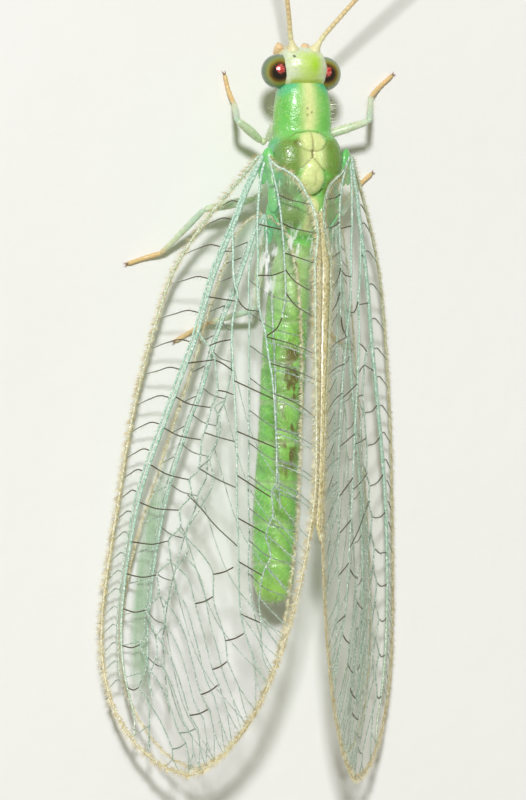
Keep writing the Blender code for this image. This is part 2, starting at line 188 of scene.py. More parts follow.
# %% Values and finishes
class Value:
    """A number or colour in a finish; maths on it adds the nodes."""

    def __init__(self, finish, socket):
        self.finish = finish
        self.socket = socket

    def maths(self, operation, *numbers, **settings):
        sockets = dict(enumerate(numbers))
        return self.finish.node("ShaderNodeMath", sockets, operation=operation, **settings)

    def __add__(self, other):
        return self.maths("ADD", self, other)

    def __sub__(self, other):
        return self.maths("SUBTRACT", self, other)

    def __rsub__(self, other):
        return self.maths("SUBTRACT", other, self)

    def __mul__(self, other):
        return self.maths("MULTIPLY", self, other)

    def __pow__(self, other):
        return self.maths("POWER", self, other)

    __radd__ = __add__
    __rmul__ = __mul__

    def clamped(self):
        return self.maths("ADD", self, 0.0, use_clamp=True)


class Finish:
    """A material built round one Principled shader."""

    def __init__(self, name, **fixed):
        self.material = bpy.data.materials.new(name)
        self.material.use_nodes = True
        self.tree = self.material.node_tree
        self.shader = self.tree.nodes["Principled BSDF"]
        for socket, value in fixed.items():
            self.shader.inputs[socket.replace("_", " ").title().replace("Ior", "IOR")].default_value = value

    def node(self, kind, sockets=None, output=0, stops=None, **settings):
        made = self.tree.nodes.new(kind)
        for setting, value in settings.items():
            setattr(made, setting, value)
        for place, (position, colour) in enumerate(stops or ()):
            elements = made.color_ramp.elements
            element = elements[place] if place < len(elements) else elements.new(position)
            element.position, element.color = position, colour
        for key, value in (sockets or {}).items():
            if isinstance(value, Value):
                self.tree.links.new(value.socket, made.inputs[key])
            else:
                made.inputs[key].default_value = value
        return Value(self, made.outputs[output])

    def place(self, stretch=(1, 1, 1)):
        """The place on the object in millimetres, squeezed along each axis by the stretch."""
        metres = self.node("ShaderNodeTexCoord", output="Object")
        return self.node("ShaderNodeMapping", {"Vector": metres, "Scale": [s / MM for s in stretch]})

    def paint(self, field):
        return self.node("ShaderNodeAttribute", output="Fac", attribute_name=field)

    def noise(self, scale, detail=3.0, place=None):
        vector = place or self.place()
        return self.node("ShaderNodeTexNoise", {"Vector": vector, "Scale": scale, "Detail": detail})

    def band(self, value, start, end):
        """0 before the start, 1 after the end, and a soft change between them."""
        sockets = {"Value": value, "From Min": start, "From Max": end}
        return self.node("ShaderNodeMapRange", sockets, interpolation_type="SMOOTHSTEP")

    def mix(self, share, first, second):
        return self.node("ShaderNodeMix", {0: share, 6: first, 7: second}, output=2, data_type="RGBA")

    def bump(self, height, distance, strength=1.0):
        sockets = {"Height": height, "Distance": distance * MM, "Strength": strength}
        return self.node("ShaderNodeBump", sockets)

    def wear(self, **links):
        """Joins values to the shader's sockets and gives back the material."""
        for socket, value in links.items():
            self.tree.links.new(value.socket, self.shader.inputs[socket.replace("_", " ").title()])
        return self.material


def colour(red, green, blue):
    """A screen colour from 0 to 255 as the linear colour that a shader works with."""
    channels = [c / 255 for c in (red, green, blue)]
    return (*[c / 12.92 if c <= 0.04045 else ((c + 0.055) / 1.055) ** 2.4 for c in channels], 1.0)


# %% [markdown]
# ## Recipes for what repeats
# Veins, rings and hairs repeat by the thousand, so Geometry Nodes make them. A recipe is a node tree
# with named inputs. It ends by making its copies real and giving them their finish, and the result is
# taken off as a plain mesh, so that nothing live is left on the model.


# %% A recipe for Geometry Nodes
class Recipe:
    """A Geometry Nodes tree with named inputs, run on a source object."""

    def __init__(self, name):
        self.tree = bpy.data.node_groups.new(name, "GeometryNodeTree")
        face = self.tree.interface
        face.new_socket("Geometry", in_out="INPUT", socket_type="NodeSocketGeometry")
        face.new_socket("Geometry", in_out="OUTPUT", socket_type="NodeSocketGeometry")
        self.entry = self.tree.nodes.new("NodeGroupInput")
        self.exit = self.tree.nodes.new("NodeGroupOutput")
        self.identifiers = {}

    def ask(self, name, kind, value=None):
        socket = self.tree.interface.new_socket(name, in_out="INPUT", socket_type="NodeSocket" + kind)
        if value is not None:
            socket.default_value = value
        self.identifiers[name] = socket.identifier
        return self.entry.outputs[name]

    def node(self, kind, sockets=None, output=0, **settings):
        made = self.tree.nodes.new(kind)
        for setting, value in settings.items():
            setattr(made, setting, value)
        for key, value in (sockets or {}).items():
            if isinstance(value, bpy.types.NodeSocket):
                self.tree.links.new(value, made.inputs[key])
            else:
                made.inputs[key].default_value = value
        return made.outputs[output]

    def maths(self, operation, *numbers):
        return self.node("ShaderNodeMath", dict(enumerate(numbers)), operation=operation)

    def vectors(self, operation, *numbers):
        return self.node("ShaderNodeVectorMath", dict(enumerate(numbers)), operation=operation)

    def scaled(self, vector, number):
        return self.node("ShaderNodeVectorMath", {0: vector, "Scale": number}, operation="SCALE")

    def draw(self, low, high, seed):
        return self.node("FunctionNodeRandomValue", {2: low, 3: high, "Seed": seed}, output=1)

    def finish(self, geometry):
        real = self.node("GeometryNodeRealizeInstances", {"Geometry": geometry})
        coat = self.ask("Finish", "Material")
        coated = self.node("GeometryNodeSetMaterial", {"Geometry": real, "Material": coat})
        self.tree.links.new(coated, self.exit.inputs["Geometry"])

    def make(self, name, source, values):
        """Runs the recipe and returns its result as an object; the source stays as it was."""
        modifier = source.modifiers.new("recipe", "NODES")
        modifier.node_group = self.tree
        for key, value in values.items():
            modifier[self.identifiers[key]] = value
        source.update_tag()
        evaluated = source.evaluated_get(bpy.context.evaluated_depsgraph_get())
        mesh = bpy.data.meshes.new_from_object(evaluated)
        source.modifiers.remove(modifier)
        mesh.name = name
        piece = bpy.data.objects.new(name, mesh)
        bpy.context.scene.collection.objects.link(piece)
        return piece


# %% [markdown]
# A sweep turns each line of a wire into a round bar as thick as the wire says at each point. The
# ringed sweep also pinches the bar at even distances, as the joints of a feeler do, and writes down
# where each pinch is, for the finish to darken.


# %% Sweep recipes
def sweep_recipe(ringed):
    recipe = Recipe("ringed_sweep" if ringed else "sweep")
    sides = recipe.ask("Sides", "Int", 8)
    curve = recipe.node("GeometryNodeMeshToCurve", {"Mesh": recipe.entry.outputs["Geometry"]})
    radius = recipe.node("GeometryNodeInputNamedAttribute", {"Name": "radius"}, data_type="FLOAT")
    if ringed:
        rings = recipe.ask("Rings", "Int", 60)
        pinch = recipe.ask("Pinch", "Float", 0.2)
        count = recipe.maths("MULTIPLY_ADD", rings, 8, 1)
        curve = recipe.node("GeometryNodeResampleCurve", {"Curve": curve, "Count": count})
        share = recipe.node("GeometryNodeSplineParameter")
        turns = recipe.maths("MULTIPLY", recipe.maths("MULTIPLY", share, rings), math.pi)
        swell = recipe.maths("POWER", recipe.maths("ABSOLUTE", recipe.maths("SINE", turns)), 0.35)
        joint = recipe.maths("SUBTRACT", 1, swell)
        radius = recipe.maths("MULTIPLY", radius,
                              recipe.maths("SUBTRACT", 1, recipe.maths("MULTIPLY", joint, pinch)))
        curve = recipe.node("GeometryNodeStoreNamedAttribute",
                            {"Geometry": curve, "Name": "joint", "Value": joint}, data_type="FLOAT")
    ring = recipe.node("GeometryNodeCurvePrimitiveCircle", {"Resolution": sides, "Radius": 1.0})
    bar = recipe.node("GeometryNodeCurveToMesh", {"Curve": curve, "Profile Curve": ring,
                                                  "Scale": radius, "Fill Caps": True})
    recipe.finish(recipe.node("GeometryNodeSetShadeSmooth", {"Geometry": bar}))
    return recipe


sweep = sweep_recipe(False)
ringed_sweep = sweep_recipe(True)
print("sweep inputs", list(sweep.identifiers), list(ringed_sweep.identifiers))

# %% [markdown]
# A hair is a cone with three sides. Along a wire the hairs stand off its outer side, lean towards its
# far end and fan out to both sides. On a skin they are scattered where the skin's own value for hair
# says so, and they are combed one way.


# %% Hair recipes
def cone_at(recipe, points, direction, seed, length, thickness):
    """Puts a cone of varied length on each point, along the direction."""
    turn = recipe.node("FunctionNodeAlignRotationToVector", {"Vector": direction}, axis="Z")
    grown = recipe.node("ShaderNodeCombineXYZ", {"X": 1.0, "Y": 1.0,
                                                 "Z": recipe.draw(0.55, 1.25, seed)})
    cone = recipe.node("GeometryNodeMeshCone", {"Vertices": 3, "Radius Top": 0.0,
                                                "Radius Bottom": thickness, "Depth": length})
    sockets = {"Points": points, "Instance": cone, "Rotation": turn, "Scale": grown}
    return recipe.node("GeometryNodeInstanceOnPoints", sockets)


def wire_hair_recipe():
    recipe = Recipe("hairs_along_a_wire")
    spacing = recipe.ask("Spacing", "Float")
    length = recipe.ask("Length", "Float")
    thickness = recipe.ask("Thickness", "Float")
    rise = recipe.ask("Rise", "Float", 1.0)
    fan = recipe.ask("Fan", "Float", 1.0)
    lean = recipe.ask("Lean", "Float", 0.4)
    seed = recipe.ask("Seed", "Int", 1)
    curve = recipe.node("GeometryNodeMeshToCurve", {"Mesh": recipe.entry.outputs["Geometry"]})
    dotted = recipe.tree.nodes.new("GeometryNodeCurveToPoints")
    dotted.mode = "LENGTH"
    recipe.tree.links.new(curve, dotted.inputs["Curve"])
    recipe.tree.links.new(spacing, dotted.inputs["Length"])
    out = recipe.node("GeometryNodeInputNamedAttribute", {"Name": "out"}, data_type="FLOAT_VECTOR")
    side = recipe.vectors("CROSS_PRODUCT", dotted.outputs["Tangent"], out)
    sideways = recipe.maths("MULTIPLY", fan, recipe.maths("SIGN", recipe.draw(-1.0, 1.0, seed)))
    upward = recipe.maths("MULTIPLY", rise, recipe.draw(0.3, 1.0, recipe.maths("ADD", seed, 1)))
    direction = recipe.vectors("ADD", recipe.scaled(out, upward), recipe.scaled(side, sideways))
    direction = recipe.vectors("ADD", direction, recipe.scaled(dotted.outputs["Tangent"], lean))
    later = recipe.maths("ADD", seed, 2)
    recipe.finish(cone_at(recipe, dotted.outputs["Points"], direction, later, length, thickness))
    return recipe


def skin_hair_recipe():
    recipe = Recipe("hairs_on_a_skin")
    density = recipe.ask("Density", "Float")
    length = recipe.ask("Length", "Float")
    thickness = recipe.ask("Thickness", "Float")
    comb = recipe.ask("Comb", "Vector")
    seed = recipe.ask("Seed", "Int", 1)
    name = recipe.ask("Field", "String", "hair")
    field = recipe.node("GeometryNodeInputNamedAttribute", {"Name": name}, data_type="FLOAT")
    scatter = recipe.tree.nodes.new("GeometryNodeDistributePointsOnFaces")
    recipe.tree.links.new(recipe.entry.outputs["Geometry"], scatter.inputs["Mesh"])
    recipe.tree.links.new(recipe.maths("MULTIPLY", density, field), scatter.inputs["Density"])
    recipe.tree.links.new(seed, scatter.inputs["Seed"])
    stray = recipe.node("FunctionNodeRandomValue", {0: (-.3, -.3, -.3), 1: (.3, .3, .3), "Seed": seed},
                        data_type="FLOAT_VECTOR")
    direction = recipe.vectors("ADD", recipe.vectors("ADD", scatter.outputs["Normal"], comb), stray)
    later = recipe.maths("ADD", seed, 1)
    recipe.finish(cone_at(recipe, scatter.outputs["Points"], direction, later, length, thickness))
    return recipe


wire_hairs = wire_hair_recipe()
skin_hairs = skin_hair_recipe()
print("hair inputs", list(wire_hairs.identifiers), list(skin_hairs.identifiers))


# %% Wires
def make_wire(name, strands):
    """An object of edges from strands: each gives points, radii, outward directions and paint."""
    points = np.vstack([strand["points"] for strand in strands])
    edges, start = [], 0
    for strand in strands:
        count = len(strand["points"])
        edges += [(start + i, start + i + 1) for i in range(count - 1)]
        start += count
    mesh = bpy.data.meshes.new(name)
    mesh.from_pydata(to_frame(points).tolist(), edges, [])
    radii = np.concatenate([strand["radii"] for strand in strands]) * MM
    mesh.attributes.new("radius", "FLOAT", "POINT").data.foreach_set("value", radii.astype(np.float32))
    out = np.vstack([strand["out"] for strand in strands]).astype(np.float32)
    mesh.attributes.new("out", "FLOAT_VECTOR", "POINT").data.foreach_set("vector", out.ravel())
    for field in strands[0]["paint"]:
        values = np.concatenate([np.broadcast_to(strand["paint"][field], len(strand["points"]))
                                 for strand in strands])
        layer = mesh.attributes.new(field, "FLOAT", "POINT")
        layer.data.foreach_set("value", values.astype(np.float32))
    wire = bpy.data.objects.new(name, mesh)
    bpy.context.scene.collection.objects.link(wire)
    return wire


def drop(wire):
    """Removes a wire once its pieces are made."""
    bpy.data.objects.remove(wire)


# %% [markdown]
# ## The body's finish
# A lacewing's skin is thin and waxy: light goes a little way in, and the green comes from the body
# below it. The pattern is painted on the skin's points: a cream stripe down the back, turquoise front
# corners, olive lobes over the flight muscles, fine dark seams, and a brown that is mottling along the
# abdomen and painted shade on the thorax under the wing roots. The finish mixes those by name, with
# soft noise so that no border is drawn with a ruler, and shines like wet wax.

# %% Colours of the body
LEAF = colour(130, 208, 106)
DEEP_LEAF = colour(100, 192, 74)
LIME = colour(170, 220, 82)
CREAM = colour(234, 240, 166)
TURQUOISE = colour(84, 200, 150)
OLIVE = colour(122, 144, 62)
SEAM = colour(96, 74, 22)
MOTTLE_AND_SHADE_BROWN = colour(112, 108, 34)
PALE = colour(214, 226, 178)


def body_finish():
    wax = Finish("body_wax", roughness=0.28, subsurface_weight=0.22, subsurface_scale=0.00025,
                 coat_roughness=0.12, coat_weight=0.35)
    wax.shader.inputs["Subsurface Radius"].default_value = (0.7, 1.0, 0.4)
    cloud = wax.noise(1.6, 4.0)
    grain = wax.noise(14.0, 3.0)
    base = wax.mix(wax.band(cloud, 0.32, 0.76), LEAF, DEEP_LEAF)
    base = wax.mix(wax.band(grain, 0.52, 0.75) * 0.35, base, LIME)
    base = wax.mix((wax.paint("lime") + (grain - 0.5) * 0.3).clamped(), base, LIME)
    base = wax.mix(wax.paint("turquoise"), base, TURQUOISE)
    base = wax.mix((wax.paint("olive") * (grain * 0.5 + 0.72)).clamped(), base, OLIVE)
    base = wax.mix((wax.paint("cream") * (grain * 0.4 + 0.8)).clamped(), base, CREAM)
    mottled = wax.band(wax.noise(4.0, 5.0, wax.place((1, 0.6, 1))), 0.40, 0.54)
    # brown: mottling on the abdomen, and painted shade on the thorax under the wing roots
    base = wax.mix((mottled * wax.paint("mottle_and_shade")).clamped(), base, MOTTLE_AND_SHADE_BROWN)
    base = wax.mix(wax.paint("pale"), base, PALE)
    base = wax.mix(wax.paint("seam"), base, SEAM)
    pores = wax.noise(42.0, 2.0)
    normal = wax.bump(pores * 0.5 + grain, 0.012)
    rough = wax.band(grain, 0.3, 0.8) * 0.22 + 0.2
    return wax.wear(base_color=base, normal=normal, roughness=rough)


BODY_WAX = body_finish()
print("finish", BODY_WAX.name)

# %% [markdown]
# ## The body
# The thorax is three rings grown together, the first a flat shield and the next two humped over the
# flight muscles, and behind it the abdomen is nine soft rings with skin between them. One skin covers
# all of it. Each section is widest well above its middle, as the sides of the real one tuck in below.

# %% Sections of the body
# y, half width, height of the widest line, rise above it, drop below it, x
BODY_SECTIONS = (
    (6.70, .20, 1.96, .12, .20, .00), (6.66, .38, 1.97, .25, .36, .00), (6.58, .48, 1.98, .34, .46, .01),
    (6.42, .54, 1.99, .385, .51, .02), (6.17, .585, 2.00, .40, .55, .02), (5.90, .605, 2.01, .40, .60, .02),
    (5.72, .61, 2.02, .39, .62, .01), (5.61, .60, 2.04, .38, .64, .00), (5.54, .61, 2.08, .39, .68, .00),
    (5.42, .68, 2.12, .41, .74, .00), (5.22, .75, 2.16, .42, .84, .00), (4.95, .79, 2.18, .42, .96, .00),
    (4.62, .77, 2.18, .40, 1.00, .01), (4.44, .72, 2.15, .35, .95, .02), (4.30, .67, 2.10, .31, .90, .03),
    (4.12, .66, 2.06, .34, .88, .04), (3.92, .68, 2.02, .36, .86, .04), (3.72, .66, 1.95, .34, .80, .03),
    (3.55, .58, 1.86, .31, .66, .02), (3.42, .50, 1.76, .30, .50, .00), (3.32, .44, 1.68, .32, .42, .00),
)
WAIST_Y = 3.32
ABDOMEN_TIP_Y = -4.26
ABDOMEN_RADIUS = 0.455
# share of the abdomen's length, x, height, swell
ABDOMEN_KNOTS = (
    (.012, .00, 1.66, .86), (.05, -.02, 1.57, .88), (.10, -.05, 1.50, .93), (.28, -.16, 1.44, 1.0),
    (.55, -.27, 1.43, 1.0), (.80, -.37, 1.38, .99), (.92, -.38, 1.35, .93), (.965, -.38, 1.34, .80),
    (.99, -.38, 1.33, .52), (1.0, -.38, 1.33, .12),
)


def all_sections():
    """Thorax and abdomen in one table, with minus y first so that it rises."""
    rows = [(-y, *rest) for y, *rest in BODY_SECTIONS]
    for share, x, height, swell in ABDOMEN_KNOTS:
        y = WAIST_Y + (ABDOMEN_TIP_Y - WAIST_Y) * share
        radius = ABDOMEN_RADIUS * swell
        rows.append((-y, radius, height, radius * .96, radius * .96, x))
    return np.array(rows)


SECTIONS = all_sections()
print("sections", len(SECTIONS))

# %% [markdown]
# ## Domes and seams
# The back of the thorax is a jigsaw of small plates. Each plate is a dome pushed out of the skin, and
# the seams between them are narrow grooves along a few points. The same distances that push the skin
# also paint it, so a dark seam always lies in its own groove.

# %% Plates and seams
# x, y, radius across, radius along, height, how steep the rim is, and the paint that it carries
DOMES = (
    (.00, 5.38, .33, .22, .065, .60, "cream"),
    (-.48, 5.06, .36, .46, .060, .85, "olive"), (.48, 5.06, .36, .46, .060, .85, "olive"),
    (-.02, 4.62, .30, .37, .080, .65, "cream"), (.02, 4.92, .14, .20, .030, .90, "cream"),
    (-.42, 3.82, .30, .29, .070, .85, "olive"), (.46, 3.82, .30, .29, .070, .85, "olive"),
    (.05, 4.02, .16, .22, .055, .70, "cream"),
    (-.50, 4.34, .26, .20, .020, .90, "olive"), (.52, 4.34, .26, .20, .020, .90, "olive"),
    (-.30, 6.02, .26, .36, .014, .90, ""), (.32, 6.02, .26, .36, .014, .90, ""),
)
# depth, width and the points of each seam
SEAMS = (
    (.018, .010, ((.01, 5.60), (-.005, 5.18))),
    (.030, .018, ((-.005, 5.20), (-.005, 5.05))),
    (.018, .011, ((-.37, 5.39), (-.30, 5.27), (-.15, 5.19), (0, 5.17), (.15, 5.18), (.26, 5.24), (.33, 5.36))),
    (.022, .012, ((-.005, 5.06), (-.12, 4.95), (-.25, 4.83))),
    (.022, .012, ((-.005, 5.06), (.12, 4.92), (.27, 4.76))),
    (.035, .016, ((-.26, 4.36), (-.13, 4.28), (.03, 4.255), (.17, 4.29), (.26, 4.38))),
    (.014, .011, ((-.44, 5.47), (-.30, 5.565), (0, 5.61), (.25, 5.57), (.38, 5.47))),
    (.014, .020, ((.03, 4.74), (.04, 4.60), (.03, 4.50))),
    (.014, .016, ((-.10, 3.98), (.00, 3.80), (.03, 3.58))),
    (.014, .016, ((.22, 3.98), (.10, 3.80), (.06, 3.58))),
)
SEAM_PAINT = (.55, .9, .35, .70, .70, .9, .50, .30, .20, .20)


def distance_to_line(x, y, line):
    """How far each place is from a line of points, seen from above."""
    nearest = np.full(x.shape, 9.0)
    for (x0, y0), (x1, y1) in zip(line, line[1:]):
        share = ((x - x0) * (x1 - x0) + (y - y0) * (y1 - y0)) / ((x1 - x0)**2 + (y1 - y0)**2)
        share = np.clip(share, 0, 1)
        nearest = np.minimum(nearest, np.hypot(x - x0 - share * (x1 - x0), y - y0 - share * (y1 - y0)))
    return nearest


def soft_step(value, start, end):
    t = np.clip((value - start) / (end - start), 0, 1)
    return t * t * (3 - 2 * t)


print("plates", len(DOMES), "seams", len(SEAMS))

# %% The plain form of the body
THORAX_STEP, ABDOMEN_STEP = 0.0145, 0.030
UPPER_POINTS, LOWER_POINTS = 86, 34


def body_rings():
    """Rings of the body before any plate or seam, and the angle of each point."""
    front, tip = -SECTIONS[0, 0], -SECTIONS[-1, 0]
    stations = np.concatenate([np.arange(front, WAIST_Y, -THORAX_STEP),
                               np.arange(WAIST_Y, tip + .1, -ABDOMEN_STEP),
                               tip + .1 * np.cos(np.linspace(0, np.pi / 2, 9))[:-1], [tip]])
    half, height, rise, drop_, x = smooth(SECTIONS, -stations).T
    angles = np.concatenate([np.linspace(0, np.pi, UPPER_POINTS, endpoint=False),
                             np.linspace(np.pi, 2 * np.pi, LOWER_POINTS, endpoint=False)])
    squareness = np.interp(stations, [WAIST_Y, WAIST_Y + .6], [1.0, .86])[:, None]
    c, s = np.cos(angles)[None], np.sin(angles)[None]
    across = np.sign(c) * np.abs(c) ** squareness
    upward = np.sign(s) * np.abs(s) ** squareness
    reach = np.where(s > 0, rise[:, None], drop_[:, None])
    rings = np.stack([x[:, None] + half[:, None] * across,
                      np.broadcast_to(stations[:, None], across.shape),
                      height[:, None] + reach * upward], -1)
    return rings, stations, x


def ring_normals(rings):
    along = np.gradient(rings, axis=0)
    around = np.roll(rings, -1, axis=1) - np.roll(rings, 1, axis=1)
    return unit(np.cross(along, around))


body, stations, spine = body_rings()
outward = ring_normals(body)
if (outward[100, 20] * (body[100, 20] - body[100].mean(0))).sum() < 0:
    outward = -outward
print("rings", body.shape)

# %% [markdown]
# The abdomen's rings overlap like the joints of a telescope: each back edge stands a little proud,
# and the soft skin behind it dips. Long low ripples and a faint flutter keep it from looking turned
# on a lathe, and at the very tip a cleft parts the last two flaps.

# %% Relief and paint of the body
SEGMENTS = 9
rng = np.random.default_rng(4)


def body_relief(rings, normals):
    x, y = rings[..., 0] - spine[:, None], rings[..., 1]
    top = soft_step(normals[..., 2], .05, .45)
    lift = np.zeros(x.shape)
    paint = {field: np.zeros(x.shape) for field in
             ("cream", "olive", "turquoise", "lime", "mottle_and_shade", "pale", "seam", "hair")}
    for dome_x, dome_y, across, length, height, steep, field in DOMES:
        reach = np.clip(1 - ((x - dome_x) / across)**2 - ((y - dome_y) / length)**2, 0, 1)
        lift += height * reach**steep * top
        if field:
            soft = soft_step(reach, .02, .62) * .8 if field == "olive" else soft_step(reach, .0, .60) * .9
            paint[field] = np.maximum(paint[field], soft * top)
    for (depth, width, line), dark in zip(SEAMS, SEAM_PAINT):
        near = np.exp(-(distance_to_line(x, y, line) / width)**2) * top
        lift -= depth * near
        paint["seam"] = np.maximum(paint["seam"], near * dark)
    return x, y, top, lift, paint


def abdomen_relief(x, y, lift, paint):
    share = (WAIST_Y - y) / (WAIST_Y - ABDOMEN_TIP_Y)
    on_abdomen = soft_step(share, .0, .03) * (1 - soft_step(share, .93, .97))
    phase = (share * SEGMENTS) % 1.0
    edge = np.exp(-((phase - .93) / .05)**2) - 1.3 * np.exp(-(np.minimum(phase, 1 - phase) / .05)**2)
    lift += on_abdomen * (.016 * edge + .010 * np.sin(np.pi * phase))
    lift += on_abdomen * .008 * np.sin(7 * x + 3.1 * y) * np.sin(5.3 * y + 1.3)
    cleft = np.exp(-(x / .03)**2) * soft_step(share, .965, .99)
    lift -= .05 * cleft
    middle = np.exp(-((x - .04) / .22)**2)
    paint["mottle_and_shade"] = middle * soft_step(share, .20, .32) * (1 - soft_step(share, .56, .74)) * 1.25
    paint["lime"] = np.maximum(paint["lime"], on_abdomen * .5 * np.exp(-((x + .06) / .30)**2))
    paint["lime"] = np.maximum(paint["lime"], soft_step(share, .86, .97) * .7)
    paint["pale"] = on_abdomen * .35 * np.exp(-(np.minimum(phase, 1 - phase) / .06)**2)
    paint["pale"] = np.maximum(paint["pale"], on_abdomen * .42 * (1 - soft_step(share, .10, .28)))
    paint["hair"] = soft_step(share, .02, .08) * (.35 + .65 * soft_step(share, .75, .95))


def thorax_paint(x, y, top, paint):
    on_shield = soft_step(y, 5.56, 5.66)
    stripe = np.exp(-(np.abs(x + .01) / (.165 + .03 * np.sin(4.4 * y)))**2) * on_shield * .95
    between = np.exp(-(np.abs(x - .02) / .15)**2) * soft_step(y, 3.40, 3.60) * (1 - soft_step(y, 4.15, 4.30))
    neck = np.exp(-(np.abs(x) / .27)**4) * soft_step(y, 4.70, 4.90) * (1 - soft_step(y, 5.5, 5.6))
    paint["cream"] = np.maximum.reduce([paint["cream"], stripe * top, between * top, neck * top * .9])
    corner = soft_step(y + .5 * np.abs(x), 6.50, 6.72) * soft_step(np.abs(x), .14, .30)
    rim = soft_step(np.abs(x), .56, .66) * soft_step(y, 3.5, 3.8) * (1 - soft_step(y, 5.3, 5.6))
    paint["turquoise"] = np.maximum(corner * .75, rim * .8)
    paint["lime"] = np.maximum(paint["lime"], (1 - top) * .25)
    paint["bristle"] = soft_step(np.abs(x), .46, .56) * soft_step(y, 5.62, 5.8) * (1 - soft_step(y, 6.2, 6.4))
    paint["hair"] = np.maximum(paint["hair"], soft_step(y, 3.3, 3.5) * .2 * top)
    # painted shade: the flanks of the thorax under the wing roots darkened to brown
    painted_wing_shade = np.exp(-((np.abs(x) - .50) / .22)**4 - ((y - 4.34) / .34)**4) * .75
    patches = sum(np.exp(-((x - mx) / .10)**2 - ((y - my) / .08)**2) for mx, my in ((-.33, 5.37), (.32, 5.30)))
    paint["mottle_and_shade"] = np.maximum(paint["mottle_and_shade"], (painted_wing_shade + .7 * patches) * top)


x, y, top, lift, paint = body_relief(body, outward)
abdomen_relief(x, y, lift, paint)
thorax_paint(x, y, top, paint)
for mark_x, mark_y in ((-.06, 6.07), (.03, 5.99), (-.06, 5.94), (-.62, 4.30), (.30, 4.14)):
    paint["seam"] = np.maximum(paint["seam"], .8 * np.exp(-(np.hypot(x - mark_x, y - mark_y) / .022)**2) * top)
lift += .0025 * rng.standard_normal(lift.shape)
body_points, body_faces = skin_over(body + outward * lift[..., None])
paint = {field: values.ravel() for field, values in paint.items()}
body_skin = make_piece("body_skin", body_points, body_faces, BODY_WAX, paint)
settle(body_skin, "body_skin", "prothorax", "mesothorax", "metathorax",
       "abdomen_front", "abdomen_middle", "abdomen_tip")

# %% [markdown]
# ## Hairs of the body
# Short pale bristles stand on the flanks of the first ring, and a fine down covers the abdomen and
# thickens at its tip. They catch the light as a pale fringe along the outline.


# %% Body hairs
def hair_finish(name, root, tip):
    hair = Finish(name, roughness=0.42, subsurface_weight=0.1, subsurface_scale=0.0001)
    shade = hair.mix(hair.band(hair.noise(9.0, 2.0), 0.35, 0.65), root, tip)
    return hair.wear(base_color=shade)


PALE_HAIR = hair_finish("pale_hair", colour(226, 226, 190), colour(248, 246, 226))
body_down = skin_hairs.make("body_down", body_skin, {
    "Field": "hair", "Density": 120 / MM**2, "Length": .10 * MM, "Thickness": .0040 * MM,
    "Comb": (0.0, -1.0, 0.0), "Seed": 11, "Finish": PALE_HAIR})
bristles = skin_hairs.make("shield_bristles", body_skin, {
    "Field": "bristle", "Density": 42 / MM**2, "Length": .19 * MM, "Thickness": .0062 * MM,
    "Comb": (0.0, 0.15, 0.35), "Seed": 12, "Finish": PALE_HAIR})
settle(body_down, "body_skin")
settle(bristles, "body_skin")

# %% [markdown]
# ## The head
# Seen from above the head is a rounded box between the eyes: a lime dome in the middle, whitish
# cheeks beside it, a cream rim behind each eye and one black dot. It is a stack of rings like the
# body, closed at the front above the mouth.

# %% Head form
# y, half width, height of the widest line, rise above it, drop below it
HEAD_SECTIONS = (
    (6.50, .22, 1.95, .10, .20), (6.54, .42, 1.96, .22, .36), (6.60, .54, 1.97, .31, .48),
    (6.70, .56, 1.99, .36, .56), (6.84, .55, 2.03, .38, .64), (6.98, .52, 2.06, .38, .70),
    (7.10, .475, 2.06, .36, .74), (7.20, .43, 2.04, .31, .74), (7.28, .37, 1.98, .25, .70),
    (7.335, .29, 1.90, .20, .60), (7.365, .17, 1.80, .14, .42), (7.375, .05, 1.76, .05, .16),
)
HEAD_STEP = 0.010
HEAD_AROUND = 96


def head_rings():
    table = np.array(HEAD_SECTIONS)
    along = np.linspace(0, 1, int((table[-1, 0] - table[0, 0]) / HEAD_STEP))
    stops = table[0, 0] + (table[-1, 0] - table[0, 0]) * (1 - np.cos(np.pi * along)) / 2
    half, height, rise, drop_ = smooth(table, stops).T
    angles = np.linspace(0, 2 * np.pi, HEAD_AROUND, endpoint=False)
    c, s = np.cos(angles)[None], np.sin(angles)[None]
    across = half[:, None] * np.sign(c) * np.abs(c)**.62 - .015
    upward = np.sign(s) * np.abs(s)**.90
    reach = np.where(s > 0, rise[:, None], drop_[:, None])
    return np.stack([across, np.broadcast_to(stops[:, None], across.shape),
                     height[:, None] + reach * upward], -1)


head = head_rings()
head_out = ring_normals(head)
if (head_out[30, 10] * (head[30, 10] - head[30].mean(0))).sum() < 0:
    head_out = -head_out
hx, hy, hz = np.moveaxis(head, -1, 0)
head_top = soft_step(head_out[..., 2], .1, .6)
vertex_dome = np.clip(1 - ((hx - .02) / .33)**2 - ((hy - 6.93) / .36)**2, 0, 1)
head_lift = .035 * vertex_dome**1.3 * head_top
head_lift -= .006 * np.exp(-((vertex_dome - .04) / .06)**2) * head_top * (hy < 7.2)
head_lift += .006 * np.sin(31 * hx + 7 * hy) * np.sin(23 * hy) * vertex_dome
for side in (-1, 1):
    socket = np.hypot(hx - side * .235, hy - 7.27)
    head_lift += .014 * np.exp(-((socket - .15) / .05)**2) * soft_step(hz, 1.95, 2.1)
print("head rings", head.shape)

# %% Head paint
dot = np.exp(-(np.hypot(hx + .31, hy - 7.155) / .028)**4) * head_top
middle = 1 - soft_step(np.abs(hx - .02), .10, .38)
head_paint = {
    "lime": middle * (1 - soft_step(hy, 7.20, 7.30)) * head_top,
    "vivid": np.exp(-((hx - .12) / .13)**2 - ((hy - 6.98) / .20)**2),
    "cream": np.maximum(soft_step(-hy, -6.72, -6.60) * soft_step(np.abs(hx), .36, .50),
                        1 - soft_step(hz, 1.75, 1.95)),
    "leaf": soft_step(-hy, -6.74, -6.62) * (1 - soft_step(np.abs(hx), .30, .42)),
    "tan": 0 * hx,
    "dot": dot,
}


